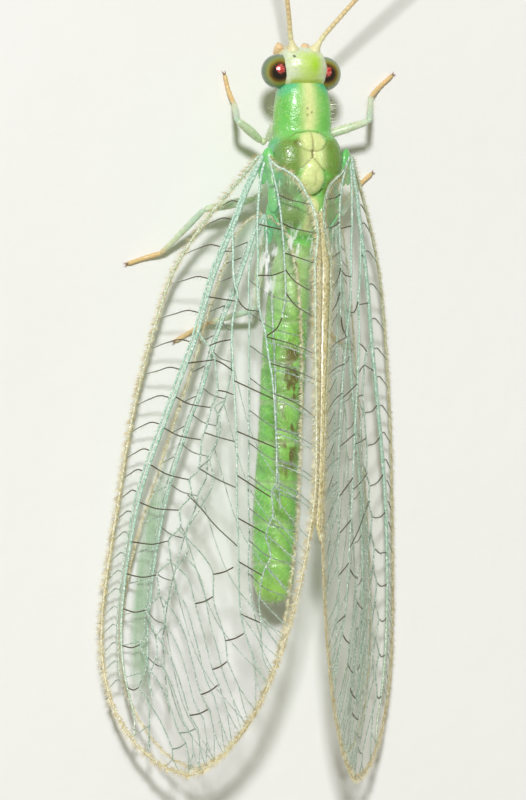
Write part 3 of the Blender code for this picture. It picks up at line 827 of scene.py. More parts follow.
def head_finish():
    wax = Finish("head_wax", subsurface_weight=0.25, subsurface_scale=0.0002,
                 coat_weight=0.45, coat_roughness=0.08)
    wax.shader.inputs["Subsurface Radius"].default_value = (0.9, 1.0, 0.5)
    grain = wax.noise(12.0, 4.0)
    base = wax.mix(wax.band(grain, .35, .7), colour(224, 233, 200), colour(210, 226, 176))
    speckled = (wax.paint("lime") * (wax.band(wax.noise(24.0, 2.0), .3, .6) * .35 + .65)).clamped()
    base = wax.mix(speckled, base, colour(204, 230, 124))
    base = wax.mix((wax.paint("vivid") * wax.paint("lime")).clamped(), base, colour(178, 222, 58))
    base = wax.mix(wax.paint("leaf"), base, colour(180, 200, 84))
    base = wax.mix(wax.paint("cream"), base, colour(216, 208, 142))
    base = wax.mix(wax.paint("tan"), base, colour(236, 202, 156))
    base = wax.mix(wax.paint("dot"), base, colour(22, 22, 8))
    normal = wax.bump(grain + wax.noise(38.0, 2.0) * .6, 0.014)
    rough = wax.band(grain, .3, .8) * .2 + .16
    return wax.wear(base_color=base, normal=normal, roughness=rough)


HEAD_WAX = head_finish()
head_points, head_faces = skin_over(head + head_out * head_lift[..., None])

# %% [markdown]
# ## The mouth
# Below the face hang a clypeus and a lip, with a jaw at each side and two pairs of jointed palps that
# feel the food. From above only one palp shows beside the left feeler, but the model is seen from all
# sides, so all of them are made: each is a short path with a swelling at every joint.


# %% Mouth parts
def jointed(points, radii, joints, step=.012, around=16, pinch=.28):
    """A limb of several joints: smooth along its path, narrowed where one joint meets the next."""
    path, share = along_path(points, step)
    radius = np.interp(share, np.linspace(0, 1, len(radii)), radii)
    for joint in joints:
        radius = radius * (1 - pinch * np.exp(-((share - joint) / .035)**2))
    ends = np.clip(np.minimum(share, 1 - share) / .03, 0, 1)
    return skin_over(rings_round(path, radius * np.sqrt(.04 + .96 * ends * (2 - ends)), around))


mouth = [
    jointed(((0, 7.06, 1.72), (0, 7.20, 1.46), (0, 7.28, 1.24), (0, 7.31, 1.06)),
            (.30, .25, .19, .10), (.45, .78), around=28, pinch=.10),
]
for side in (-1, 1):
    mouth.append(jointed(((side * .20, 7.06, 1.44), (side * .20, 7.18, 1.26), (side * .08, 7.27, 1.10)),
                         (.10, .08, .03), (.5,)))
    mouth.append(jointed(((side * .14, 7.12, 1.34), (side * .25, 7.20, 1.26), (side * .30, 7.31, 1.38),
                          (side * .29, 7.43, 1.50)), (.050, .060, .084, .094, .088), (.30, .58)))
    mouth.append(jointed(((side * .08, 7.18, 1.14), (side * .16, 7.26, 1.04), (side * .19, 7.36, 1.04)),
                         (.038, .034, .026), (.35, .68)))
mouth_points, mouth_faces = join(mouth)

# %% [markdown]
# The head and the mouth are one piece, so the paint of the head is given zeros for the mouth's
# points, apart from the cream of its lip.

# %% Head piece
extra = np.zeros(len(mouth_points))
head_paint = {field: np.concatenate([values.ravel(), extra]) for field, values in head_paint.items()}
head_paint["cream"][-len(extra):] = .85
head_paint["tan"][-len(extra):] = soft_step(np.abs(mouth_points[:, 0]), .12, .22)
all_points, all_faces = join([(head_points, head_faces), (mouth_points, mouth_faces)])
head_skin = make_piece("head_skin", all_points, all_faces, HEAD_WAX, head_paint)
settle(head_skin, "head_skin", "head")

# %% [markdown]
# ## The eyes
# A lacewing's eye is a globe of tiny lenses that shines like metal. Its colours lie in zones round
# the spot that looks up: black, a thin gold ring, olive and then grey green at the rim. On the black
# sits a coral glint, a painted reflection of the lamp. Each point of the globe stores how far it lies
# from that spot and from the glint's, and a ramp turns the first into zones.

# %% Eye finish
EYE_RADIUS = 0.365
# centre of the globe, direction of its dark middle, direction of its coral glint, a painted reflection
EYE_PLACES = {"left": ((-.500, 6.855, 1.93), (-.26, -.06, .96), (-.22, .12, .96)),
              "right": ((.520, 6.815, 1.93), (-.16, -.02, .98), (-.14, .12, .98))}


def eye_finish():
    eye = Finish("eye_lenses", roughness=0.16, coat_weight=1.0, coat_roughness=0.03, metallic=0.15)
    zone = eye.paint("zone") + (eye.noise(4.0, 3.0) - 0.5) * 0.16
    zones = eye.node("ShaderNodeValToRGB", {"Fac": zone}, stops=(
        (.00, colour(26, 10, 6)), (.40, colour(30, 18, 6)), (.53, colour(102, 74, 18)),
        (.66, colour(150, 138, 48)), (.78, colour(118, 136, 58)), (.91, colour(84, 116, 76)),
        (1.0, colour(54, 84, 62))))
    # painted reflection: the coral glint of the lamp in the lenses, fixed on the globe as colour
    painted_glint_mask = 1 - eye.band(eye.paint("painted_glint") + (eye.noise(9.0, 4.0) - 0.5) * 0.42, .16, .34)
    painted_glint_flecks = eye.band(eye.noise(26.0, 4.0), .46, .62)
    painted_glint_colour = eye.mix(painted_glint_flecks, colour(190, 44, 44), colour(248, 140, 128))
    shade = eye.mix(painted_glint_mask, zones, painted_glint_colour)
    lenses = eye.node("ShaderNodeTexVoronoi", {"Vector": eye.place(), "Scale": 46.0}, output="Distance")
    return eye.wear(base_color=shade, normal=eye.bump(1 - lenses, 0.003, 0.5))


EYE_LENSES = eye_finish()


# %% Eye globes
def away_from(directions, middle):
    """How far each direction lies from a middle one: 0 there, 1 at a right angle and beyond."""
    facing = directions @ unit(np.array(middle))
    return np.where(facing > 0, np.sqrt(np.clip(1 - facing**2, 0, 1)), 1.0)


def make_eye(word, centre, dark, painted_glint):
    ball = bmesh.new()
    bmesh.ops.create_icosphere(ball, subdivisions=6, radius=1)
    directions = np.array([v.co for v in ball.verts])
    faces = [[v.index for v in f.verts] for f in ball.faces]
    ball.free()
    paint = {"zone": away_from(directions, dark), "painted_glint": away_from(directions, painted_glint)}
    eye = make_piece("eye_" + word + "_globe", np.array(centre) + directions * EYE_RADIUS, faces,
                     EYE_LENSES, paint)
    settle(eye, "eye", "eye_" + word)


for word, (centre, dark, painted_glint) in EYE_PLACES.items():
    make_eye(word, centre, dark, painted_glint)

# %% [markdown]
# ## The feelers
# A feeler starts in a stout cone set in the brow, then a small ring, then about ninety short joints
# in a thread as long as the wings. The thread is a path swept with pinches, and the fine hairs on it
# lean towards its tip.

# %% Feeler finish
FEELER_PATHS = {
    "left": ((-.355, 7.62, 2.22), (-.42, 7.90, 2.33), (-.54, 8.33, 2.50), (-.95, 9.60, 2.95),
             (-1.60, 11.2, 3.45), (-2.50, 12.9, 3.90), (-3.70, 14.6, 4.15), (-5.16, 16.14, 4.20)),
    "right": ((.40, 7.60, 2.22), (.60, 7.86, 2.34), (.97, 8.33, 2.55), (2.00, 9.50, 2.98),
              (3.25, 10.9, 3.42), (4.60, 12.5, 3.80), (5.90, 14.2, 4.05), (6.96, 15.84, 4.10)),
}
SCAPES = {"left": ((-.225, 7.20, 2.05), (-.255, 7.32, 2.12), (-.33, 7.54, 2.19), (-.36, 7.64, 2.23)),
          "right": ((.215, 7.20, 2.05), (.250, 7.32, 2.12), (.36, 7.52, 2.19), (.41, 7.62, 2.23))}
SCAPE_RADII = (.13, .145, .125, .085, .062, .052, .060, .050)
RINGS = 90


def feeler_finish():
    horn = Finish("feeler_horn", roughness=0.42, subsurface_weight=0.15, subsurface_scale=0.0001)
    grain = horn.noise(16.0, 3.0)
    base = horn.mix(horn.band(grain, .35, .7), colour(232, 208, 158), colour(214, 184, 126))
    base = horn.mix(horn.paint("green"), base, colour(230, 224, 176))
    base = horn.mix((horn.paint("joint") * .45).clamped(), base, colour(164, 126, 72))
    return horn.wear(base_color=base, normal=horn.bump(grain, 0.004))


FEELER_HORN = feeler_finish()


# %% Feelers
def make_feeler(word):
    path, share = along_path(FEELER_PATHS[word], .05)
    radii = np.interp(share, [0, .05, .5, 1], [.056, .053, .044, .024])
    out = np.tile([0.0, 0.0, 1.0], (len(path), 1))
    wire = make_wire("thread_" + word, [{"points": path, "radii": radii, "out": out,
                                         "paint": {"green": np.clip(1 - share * 9, 0, 1) * .6}}])
    thread = ringed_sweep.make("feeler_" + word + "_thread", wire, {
        "Sides": 10, "Rings": RINGS, "Pinch": .20, "Finish": FEELER_HORN})
    down = wire_hairs.make("feeler_" + word + "_down", wire, {
        "Spacing": .022 * MM, "Length": .085 * MM, "Thickness": .0035 * MM, "Rise": 1.0, "Fan": 3.0,
        "Lean": 1.1, "Seed": 21, "Finish": PALE_HAIR})
    drop(wire)
    points, faces = jointed(SCAPES[word], SCAPE_RADII, (.70,), around=28, pinch=.16)
    scape = make_piece("feeler_" + word + "_scape", points, faces, FEELER_HORN,
                       {"green": np.ones(len(points)) * .9, "joint": np.zeros(len(points))})
    settle(thread, "antenna", "antenna_" + word)
    settle(down, "antenna")
    settle(scape, "antenna")


for word in FEELER_PATHS:
    make_feeler(word)

# %% [markdown]
# ## The legs
# Each leg is a hip, a long thin thigh, a longer shin and a foot of five small joints with two claws.
# The thigh and shin are a clear pale green that turns teal at the knee, and the foot is the colour of
# light tan leather. A leg is one jointed path, and its paint says how far along it each point lies.

# %% Leg paths
FLOOR_CLEAR = 0.055     # height of the foot's middle line
LEGS = {
    "leg_front_left": ((-.28, 5.78, 1.52), (-.40, 5.44, 1.06), (-.52, 5.42, 1.02), (-1.24, 5.84, 1.46),
                       (-.82, 6.24, .24), (-.96, 6.84, FLOOR_CLEAR)),
    "leg_front_right": ((.28, 5.78, 1.52), (.42, 5.46, 1.06), (.56, 5.46, 1.04), (1.75, 5.86, 1.46),
                        (2.30, 6.42, .24), (2.86, 6.89, FLOOR_CLEAR)),
    "leg_middle_left": ((-.30, 4.70, 1.40), (-.44, 4.30, .84), (-.58, 4.22, .82), (-1.82, 3.98, 1.04),
                        (-2.46, 3.08, .22), (-3.14, 2.86, FLOOR_CLEAR)),
    "leg_middle_right": ((.30, 4.70, 1.40), (.44, 4.30, .84), (.54, 4.22, .82), (1.30, 3.90, 1.02),
                         (1.86, 4.36, .24), (2.39, 4.80, FLOOR_CLEAR)),
    "leg_hind_left": ((-.30, 3.62, 1.34), (-.38, 3.26, .82), (-.44, 3.14, .80), (-.62, 1.90, .94),
                      (-1.40, 1.62, .24), (-2.08, 1.24, FLOOR_CLEAR)),
    "leg_hind_right": ((.30, 3.62, 1.34), (.38, 3.26, .80), (.42, 3.14, .78), (.62, 1.92, .84),
                       (1.28, 1.46, .24), (1.90, 1.08, FLOOR_CLEAR)),
}
LEG_STEP = 0.014
LEG_AROUND = 18


def leg_finish():
    skin = Finish("leg_skin", roughness=0.34, subsurface_weight=0.3, subsurface_scale=0.00015,
                  coat_weight=0.2, coat_roughness=0.2)
    grain = skin.noise(15.0, 3.0)
    base = skin.mix(skin.band(grain, .35, .7), colour(218, 228, 198), colour(194, 214, 170))
    base = skin.mix(skin.paint("teal"), base, colour(182, 212, 186))
    base = skin.mix(skin.paint("tan"), base, colour(224, 192, 132))
    base = skin.mix(skin.paint("claw"), base, colour(120, 74, 30))
    return skin.wear(base_color=base, normal=skin.bump(grain, 0.006))


LEG_SKIN = leg_finish()


# %% Leg segments
def bar(start, end, radii, bend=0.0, sag=(0, 0, 1)):
    """One segment from start to end with a slight bend, thick as the radii say, closed round."""
    start, end = np.array(start, float), np.array(end, float)
    count = max(8, int(np.linalg.norm(end - start) / LEG_STEP))
    share = np.linspace(0, 1, count)
    path = start + (end - start) * share[:, None] + bend * np.sin(np.pi * share)[:, None] * np.array(sag)
    radius = smooth(np.column_stack([np.linspace(0, 1, len(radii)), radii]), share)[:, 0]
    ends = np.clip(np.minimum(share, 1 - share) * np.linalg.norm(end - start) / radius.max(), 0, 1)
    radius = radius * np.sqrt(np.clip(ends * (2 - ends), .02, 1))
    points, faces = skin_over(rings_round(path, radius, LEG_AROUND))
    return points, faces, np.repeat(share, LEG_AROUND)


def claw(root, forward, side):
    """A hooked claw that bends down from the end of the foot."""
    across = unit(np.cross(forward, [0, 0, 1.0])) * side
    knots = [root, root + forward * .05 + across * .028 + (0, 0, .012),
             root + forward * .085 + across * .034 + (0, 0, -.026)]
    path, share = along_path(knots, .008)
    return skin_over(rings_round(path, .013 * (1 - share) + .002, 8))


def leg_parts(path):
    """The parts of one leg, each with its paint."""
    hip, hip_end, thigh, knee, ankle, toe = [np.array(p, float) for p in path]
    parts = []

    def add(part, teal=0.0, tan=0.0, dark=0.0):
        points, faces = part[0], part[1]
        spread = [np.broadcast_to(value, len(points)) for value in (teal, tan, dark)]
        parts.append((points, faces, *spread))

    add(bar(hip, hip_end, (.15, .16, .12, .085)))
    add(bar(hip_end - (0, 0, .02), thigh + (thigh - hip_end) * .3, (.07, .085, .075)), tan=.15)
    upper = bar(thigh, knee, (.060, .088, .098, .086, .068), bend=.03)
    add(upper, teal=soft_step(upper[2], .86, 1.0) * .5)
    lower = bar(knee, ankle, (.058, .064, .066, .058, .056), bend=.02)
    add(lower, teal=(1 - soft_step(lower[2], .15, .75)) * .85, tan=soft_step(lower[2], .80, 1.0) * .8)
    foot = toe - ankle
    joints = (.34, .52, .67, .80)
    line = np.array([ankle + foot * a - (0, 0, ankle[2] * .31 * np.sin(np.pi * min(a * 1.1, 1)))
                     for a in (0, .2, *joints, 1.0)])
    line[:, 2] = np.maximum(line[:, 2], FLOOR_CLEAR)
    add(jointed(line, (.044, .050, .052, .050, .048, .048, .042), joints, around=LEG_AROUND, pinch=.13), tan=.95)
    forward = unit(foot * (1, 1, 0))
    add(bar(toe - forward * .03, toe + forward * .03 - (0, 0, .012), (.034, .040, .03)), tan=.8, dark=.45)
    for side in (-1, 1):
        add(claw(toe + forward * .01, forward, side), dark=1.0)
    return parts


def make_leg(name):
    parts = leg_parts(LEGS[name])
    points, faces = join([part[:2] for part in parts])
    fields = {field: np.concatenate([part[2 + i] for part in parts])
              for i, field in enumerate(("teal", "tan", "claw"))}
    fields["hair"] = (1 - fields["claw"]) * soft_step(points[:, 2], .14, .24)
    leg = make_piece(name + "_skin", points, faces, LEG_SKIN, fields)
    down = skin_hairs.make(name + "_down", leg, {
        "Density": 170 / MM**2, "Length": .075 * MM, "Thickness": .0036 * MM,
        "Comb": (0.0, 0.0, -.25), "Seed": 31, "Finish": PALE_HAIR})
    settle(leg, "leg", name)
    settle(down, "leg")


for name in LEGS:
    make_leg(name)

# %% [markdown]
# ## The lie of the wings
# A wing is drawn flat, as in a field guide: its share of the way from root to tip, and how far across
# from that axis, towards the front edge or the back edge. A small class hangs that drawing at the
# slope of a roof, with a slight camber across and a slight bow along, and gives the real place.

# %% Wing planes
WING_ROOT = (0.94, 5.08, 2.33)
WING_TIPS = {"left": (-2.66, -7.77, 2.25), "right": (1.10, -7.92, 2.25)}
WING_SLOPE = math.radians(48.3)
WING_CAMBER = 0.012
WING_BOW = 0.12
HIND_DROP = -0.42       # the hind wing lies this far under the fore wing
# share of the length, and how steeply the part behind the axis lies there, in degrees
INNER_SLOPE = ((0, 26), (.04, 28), (.068, 32), (.127, 42), (.17, 48.3), (1, 48.3))


class WingPlane:
    def __init__(self, word):
        side = -1 if word == "left" else 1
        root_x, root_y, root_z = WING_ROOT
        self.side = side
        self.root = np.array([side * root_x, root_y, root_z])
        reach = np.array(WING_TIPS[word]) - self.root
        self.length = np.linalg.norm(reach)
        self.along = unit(reach)
        down = np.array([side * math.cos(WING_SLOPE), 0, -math.sin(WING_SLOPE)])
        self.across = unit(down - self.along * down.dot(self.along))
        out = np.cross(self.along, self.across)
        self.out = out if out[2] > 0 else -out

    def at(self, share, across, height=0.0):
        share, across = np.broadcast_arrays(np.asarray(share, float), np.asarray(across, float))
        inner = np.radians(np.interp(share, *np.transpose(INNER_SLOPE)))
        slope = np.where(across < 0, inner, WING_SLOPE)[..., None]
        down = self.side * np.cos(slope) * np.array([1, 0, 0]) - np.sin(slope) * np.array([0, 0, 1])
        down = unit(down - self.along * (down @ self.along)[..., None])
        bulge = WING_BOW * 4 * share * (1 - share) - WING_CAMBER * across**2 + height
        return (self.root + self.along * (share * self.length)[..., None]
                + down * across[..., None] + self.out * bulge[..., None])


PLANES = {word: WingPlane(word) for word in WING_TIPS}
print("wing length in mm", round(PLANES["left"].length, 2))

# %% Outlines of the wings
# share of the length, and the distance across to the front or the back edge
FORE_FRONT = ((0, .16), (.03, .42), (.07, .80), (.12, 1.25), (.167, 1.60), (.206, 1.82), (.28, 2.03),
              (.374, 2.22), (.468, 2.34), (.574, 2.39), (.672, 2.44), (.737, 2.46), (.801, 2.40),
              (.854, 2.24), (.896, 2.00), (.937, 1.62), (.966, 1.20), (.984, .80), (.996, .38), (1, .0))
BACK_BASES = {
    "left": ((0, -.04), (.013, -.21), (.023, -.55), (.038, -.80), (.054, -.95), (.073, -1.12),
             (.098, -1.28), (.118, -1.36), (.158, -1.44), (.222, -1.58), (.286, -1.70), (.318, -1.77),
             (.414, -1.96), (.478, -2.07), (.542, -2.14)),
    "right": ((0, -.02), (.013, -.10), (.027, -.29), (.046, -.69), (.065, -.89), (.090, -1.08),
              (.122, -1.24), (.18, -1.36), (.254, -1.50), (.351, -1.72), (.429, -1.88), (.498, -1.99)),
}
BACK_TIP = ((.606, -2.12), (.688, -2.04), (.749, -1.92), (.83, -1.66), (.877, -1.44), (.915, -1.18),
            (.958, -.80), (.986, -.40), (.996, -.2), (1, .0))
FORE_BACK = {word: base + BACK_TIP for word, base in BACK_BASES.items()}
HIND_FRONT_BASE = (
    (.092, .10), (.105, .42), (.125, .62), (.16, .76), (.185, .84), (.225, .96), (.264, 1.07), (.324, 1.19),
    (.383, 1.34), (.436, 1.50), (.494, 1.65), (.568, 1.88), (.62, 2.02), (.68, 2.14), (.74, 2.19), (.80, 2.15),
    (.85, 2.01), (.89, 1.79))
HIND_FRONT = {
    "left": HIND_FRONT_BASE + ((.93, 1.41), (.96, .98), (.978, .58), (.986, .25), (.988, .1)),
    "right": HIND_FRONT_BASE + ((.925, 1.42), (.945, 1.14), (.956, .84), (.960, .60)),
}
HIND_BACK_BASE = ((.092, -.02), (.11, -.40), (.14, -.65), (.18, -.88))
HIND_BACK = {
    "left": HIND_BACK_BASE + (
        (.22, -1.02), (.30, -1.22), (.40, -1.40), (.50, -1.54), (.61, -1.64), (.70, -1.64), (.78, -1.56),
        (.85, -1.36), (.90, -1.10), (.94, -.78), (.968, -.44), (.984, -.10), (.988, .1)),
    "right": HIND_BACK_BASE + (
        (.22, -.96), (.30, -1.05), (.40, -1.08), (.50, -1.06), (.61, -1.00), (.72, -.86), (.81, -.58),
        (.88, -.28), (.93, .10), (.952, .38), (.960, .60)),
}


def edge(table, share):
    return smooth(table, share)[:, 0]


# %% [markdown]
# ## Drawing the veins
# The veins are what names a lacewing. Each long vein is a short list of knots on the flat drawing. The
# cross-veins follow rules: so many between two long veins, closer together towards the tip, each in a
# gentle S, and dark brown where the long veins are a pale, bristly green.


# %% A drawing of veins
class Drawing:
    """Veins of one wing as strands in the wing's own flat coordinates."""

    def __init__(self, plane, height, seed, front, back):
        self.plane, self.height = plane, height
        self.front, self.back = front, back
        self.draws = np.random.default_rng(seed)
        self.strands = []

    def vein(self, knots, radii, dark=0.0, gold=0.0, bend=0.0):
        """A vein through (share, across) knots; radii, dark and gold may run from root to end."""
        knots = np.array(knots, float)
        if len(knots) == 2 and bend:
            middle = knots.mean(0) + bend * np.array([1 / self.plane.length, 0])
            knots = np.array([knots[0], middle, knots[1]])
        flat = knots * (self.plane.length, 1)
        path, share = along_path(flat, .05)
        place = path / (self.plane.length, 1)
        ends = [np.interp(share, np.linspace(0, 1, np.size(value)), np.atleast_1d(value))
                for value in (radii, dark, gold)]
        thin = np.clip((.030 - ends[0]) / .010, 0, 1)
        self.strands.append({"points": self.plane.at(place[:, 0], place[:, 1], self.height),
                             "radii": ends[0] * VEIN_SLIMNESS, "out": np.tile(self.plane.out, (len(share), 1)),
                             "paint": {"dark": ends[1], "gold": ends[2], "thin": thin}})

    def jitter(self, amount):
        return self.draws.uniform(-amount, amount)


CROSS_RADIUS = 0.015
VEIN_SLIMNESS = 0.80     # the swept veins are this much thinner than the bars of the plain model

# %% [markdown]
# ## The fore wing's long veins
# Along the front run three strong veins side by side: the costa on the edge itself, the subcosta, and
# the radius. Behind them a zigzag vein climbs with the wing's curve, and its branches fan out to the
# back edge. Two more zigzag veins run down the middle of the wing to the back edge.

# %% Knots of the fore wing
FORE_RADIUS = ((0, .08), (.03, .20), (.059, .33), (.104, .47), (.151, .65), (.207, .84), (.303, 1.04),
               (.359, 1.23), (.404, 1.38), (.452, 1.54), (.513, 1.75), (.575, 1.90), (.64, 1.97),
               (.70, 2.00), (.76, 1.98), (.81, 1.89), (.85, 1.76), (.89, 1.55), (.925, 1.38), (.950, 1.36))
SUBCOSTA_GAP = ((0, .04), (.05, .07), (.20, .09), (.50, .10), (.70, .09), (.80, .09), (.86, .13))
CLIMB = ((.412, .47), (.465, .60), (.531, .76), (.581, .91), (.632, 1.08), (.688, 1.25), (.746, 1.40),
         (.802, 1.45), (.870, 1.36))
STEP_DOWN = ((.448, .54), (.510, .57), (.554, .68), (.606, .84), (.661, .98), (.718, 1.15), (.775, 1.20),
             (.833, 1.24), (.890, 1.12))
SECTOR_START = ((.297, .98), (.308, .82), (.319, .64), (.335, .53), (.360, .45), (.381, .38), (.412, .47))
# a second zigzag behind the first, and the corners of the first that are tied to it
INNER_ZIGZAG = ((.397, .16), (.412, .39), (.426, .24), (.448, .20), (.494, .34), (.527, .20), (.574, .43),
                (.619, .69), (.642, .60), (.685, .86), (.704, .76), (.741, 1.00), (.760, .92),
                (.789, 1.10), (.810, 1.03), (.847, 1.14))
ZIGZAG_TIES = (((.510, .57), (.494, .34)), ((.554, .68), (.574, .43)), ((.606, .84), (.619, .69)),
               ((.661, .98), (.685, .86)), ((.718, 1.15), (.741, 1.00)), ((.775, 1.20), (.789, 1.10)))
MIDDLE_VEIN = ((.110, .50), (.124, .52), (.159, .45), (.188, .39), (.210, .31), (.229, .21), (.268, .24),
               (.300, .20), (.332, .12), (.364, .04), (.396, -.05), (.428, -.14), (.460, -.21),
               (.488, -.27), (.55, -.38), (.60, -.50), (.65, -.60), (.735, -.80), (.80, -1.20), (.845, -1.60))
HIND_VEIN = ((.010, .02), (.036, .05), (.072, .03), (.110, -.02), (.168, -.15), (.206, -.21), (.244, -.33),
             (.282, -.54), (.320, -.69), (.351, -.83), (.399, -.98), (.437, -1.08), (.482, -1.18),
             (.520, -1.24), (.535, -1.16), (.571, -1.25), (.604, -1.15), (.639, -1.32), (.654, -1.24),
             (.676, -1.18), (.705, -1.17), (.74, -1.26), (.80, -1.42), (.825, -1.66))
ANAL_VEIN = ((.006, -.08), (.028, -.20), (.053, -.33), (.084, -.46), (.132, -.64), (.163, -.75),
             (.195, -.84), (.227, -.90), (.257, -.88))

# %% Branches of the zigzag vein
# each leaves the zigzag, crosses the two rows of stepped cross-veins and forks at the edge
BRANCHES = (
    ((.453, .55), (.458, .20), (.462, -.17)),
    ((.510, .60), (.524, .15), (.535, -.33)),
    ((.555, .76), (.575, .40), (.598, .05), (.628, -.54)),
    ((.610, .92), (.627, .60), (.655, .15), (.677, -.06), (.712, -.12), (.780, -.52), (.812, -.62)),
    ((.660, 1.07), (.690, .50), (.727, .28), (.770, .02), (.828, -.30), (.850, -.48)),
    ((.717, 1.20), (.738, .84), (.778, .44), (.825, .16), (.870, -.10), (.893, -.34)),
    ((.773, 1.26), (.793, .98), (.830, .60), (.870, .32), (.905, .10), (.925, -.12)),
    ((.835, 1.24), (.852, 1.00), (.888, .64), (.935, .30), (.950, .12)),
    ((.890, 1.12), (.905, .94), (.932, .66), (.962, .42)),
)
FORK_ENDS = ((None, None), (None, None), (None, None), (.885, .905), (.925, .943), (.960, .974),
             (.985, .994), (.9965, .9995), (.9985, .992))
INNER_STEPS = (((.677, -.06), (.662, -.50)), ((.727, .28), (.712, -.12)))
OUTER_STEPS = (((.780, -.52), (.765, -.92)), ((.828, -.30), (.812, -.62)), ((.870, -.10), (.852, -.46)),
               ((.905, .10), (.892, -.30)), ((.935, .30), (.925, -.06)), ((.962, .42), (.950, .12)))
# dark cross-veins from the front veins to the middle one, then on to the hind and the anal vein
FORE_CROSSES = (
    ((.16, .70), (.158, .45)), ((.235, .90), (.238, .22)), ((.345, 1.18), (.335, .55)),
    ((.313, .70), (.305, .47), (.300, .22)), ((.335, .53), (.340, .33), (.350, .08)),
    ((.383, .39), (.384, .20), (.388, -.02)), ((.365, .03), (.388, -.94)), ((.445, -.18), (.465, -1.13)),
    ((.515, -.31), (.545, -1.18)), ((.583, -.46), (.603, -1.15)), ((.652, -.60), (.670, -1.19)),
    ((.735, -.80), (.745, -1.27)), ((.232, .21), (.244, .07), (.250, -.10), (.250, -.34)),
    ((.111, -.03), (.116, -.57)), ((.193, -.19), (.191, -.50), (.182, -.80)),
)


# %% The fore wing's drawing
def fore_long_veins(art):
    margin = np.linspace(0, 1, 90)
    bent = (1 - np.cos(np.pi * margin)) / 2
    art.vein(np.column_stack([bent, edge(art.front, bent)]), (.044, .040, .038, .034, .030), gold=(.3, .6, .9, 1, 1))
    art.vein(np.column_stack([bent, edge(art.back, bent)]), (.040, .032, .030, .028, .026), gold=(.1, .3, .8, 1, 1))
    art.vein(FORE_RADIUS, (.062, .050, .044, .036, .026), gold=(.0, .0, .0, .4))
    shares = np.linspace(.01, .86, 40)
    subcosta = edge(FORE_RADIUS, shares) + edge(SUBCOSTA_GAP, shares)
    art.vein(np.column_stack([shares, subcosta]), (.036, .032, .028, .020), gold=(.0, .0, .3))
    art.vein(SECTOR_START, (.026, .024, .022))
    art.vein([p for pair in zip(CLIMB, STEP_DOWN) for p in pair] + [(.93, 1.02), (.968, .98)], (.022, .020, .018))
    art.vein(INNER_ZIGZAG, (.020, .018, .016))
    for start, end in ZIGZAG_TIES:
        art.vein((start, end), .016, dark=.5)
    art.vein(MIDDLE_VEIN, (.034, .030, .026, .022, .018))
    art.vein(HIND_VEIN, (.036, .030, .026, .022, .018, .014))
    art.vein(ANAL_VEIN, (.030, .026, .020))
    art.vein((ANAL_VEIN[-1], (.273, -.81), (.289, -.58)), .018, dark=1.0)


def fore_costal_row(art):
    """Some two dozen S-shaped cross-veins between the subcosta and the front edge."""
    feet = [.079, .108, .153, .206, .262, .310, .356, .403, .447, .491]
    while feet[-1] < .86:
        feet.append(feet[-1] + (.034 if feet[-1] < .65 else .029))
    for share in feet:
        foot = edge(FORE_RADIUS, share)[0] + edge(SUBCOSTA_GAP, share)[0]
        top = share + .018 + art.jitter(.003)
        width = edge(art.front, top)[0] - foot
        knots = ((share, foot), (share - .002, foot + .25 * width), (share + .006, foot + .60 * width),
                 (top, foot + width))
        dark = np.array((1.0, .95, .75, .25)) * np.interp(share, (.55, .68), (1, .22))
        art.vein(knots, (CROSS_RADIUS + .002, CROSS_RADIUS, CROSS_RADIUS - .003), dark=dark, gold=(0, .2, .6))


def fore_cross_veins(art):
    starts = (.400, .452, .513, .575, .640, .692, .748, .807, .873)
    for share, end in zip(starts, CLIMB):
        art.vein(((share, edge(FORE_RADIUS, share)[0]), end), (.018, .016), dark=(1, .9), bend=.06)
    for knots in FORE_CROSSES:
        art.vein(knots, (.018, .016), dark=1.0)
    for start, end in INNER_STEPS:
        art.vein((start, end), (.020, .018), dark=1.0, bend=.03)
    for number, (start, end) in enumerate(OUTER_STEPS):
        art.vein((start, end), (.020, .018), dark=1.0 if number < 4 else .4, bend=.03)


# %% [markdown]
# Near the edge all but the first three branches fork once, so the rim carries an even row of little
# forks. Behind the hind vein a dozen more branches slant to the back edge, the ones near the root dark
# and the later ones pale.


# %% Branches to the edge
def fork(art, stem, first, second, table, radii, dark):
    """Carries a stem on and splits it in two at the edge."""
    start = np.array(stem)
    ends = [np.array([share, edge(table, share)[0]]) for share in (first, second)]
    split = start + (sum(ends) / 2 - start) * .45
    art.vein((start, split), radii, dark=dark)
    for end in ends:
        art.vein((split, split + (end - split) * .5 + (.002, 0), end), (radii[-1], .011), dark=dark)


def halfway(first, second):
    """The line midway between two branches."""
    stops, lines = np.linspace(.12, 1, 6), []
    for branch in (first, second):
        path, share = along_path(np.array(branch) * (13, 1), .05)
        lines.append(np.stack([np.interp(stops, share, path[:, k]) for k in (0, 1)], 1) / (13, 1))
    return (lines[0] + lines[1]) / 2


def fore_branches(art):
    for number, (branch, (first, second)) in enumerate(zip(BRANCHES, FORK_ENDS)):
        dark = .85 if number < 3 else .10
        art.vein(branch, (.018, .016), dark=(dark, dark))
        if first is None:
            continue
        table = art.back if number < 8 else art.front
        fork(art, branch[-1], first, second, table, (.016, .013), .15)
    for number in range(3, 7):
        line = halfway(BRANCHES[number], BRANCHES[number + 1])
        end = (FORK_ENDS[number][1] + FORK_ENDS[number + 1][0]) / 2
        art.vein(line, .015, dark=.08)
        fork(art, line[-1], end - .005, end + .006, art.back, (.014, .011), .1)
    for share, up in ((.80, -1.19), (.735, -.80), (.70, -.71)):
        fork(art, (share, up), share + .062, share + .085, art.back, (.016, .012), .1)
    for across, share in ((1.02, .93), (.96, .955)):
        art.vein(((share, across), (share + .022, edge(art.front, share + .022)[0])), (.015, .011), dark=.1)


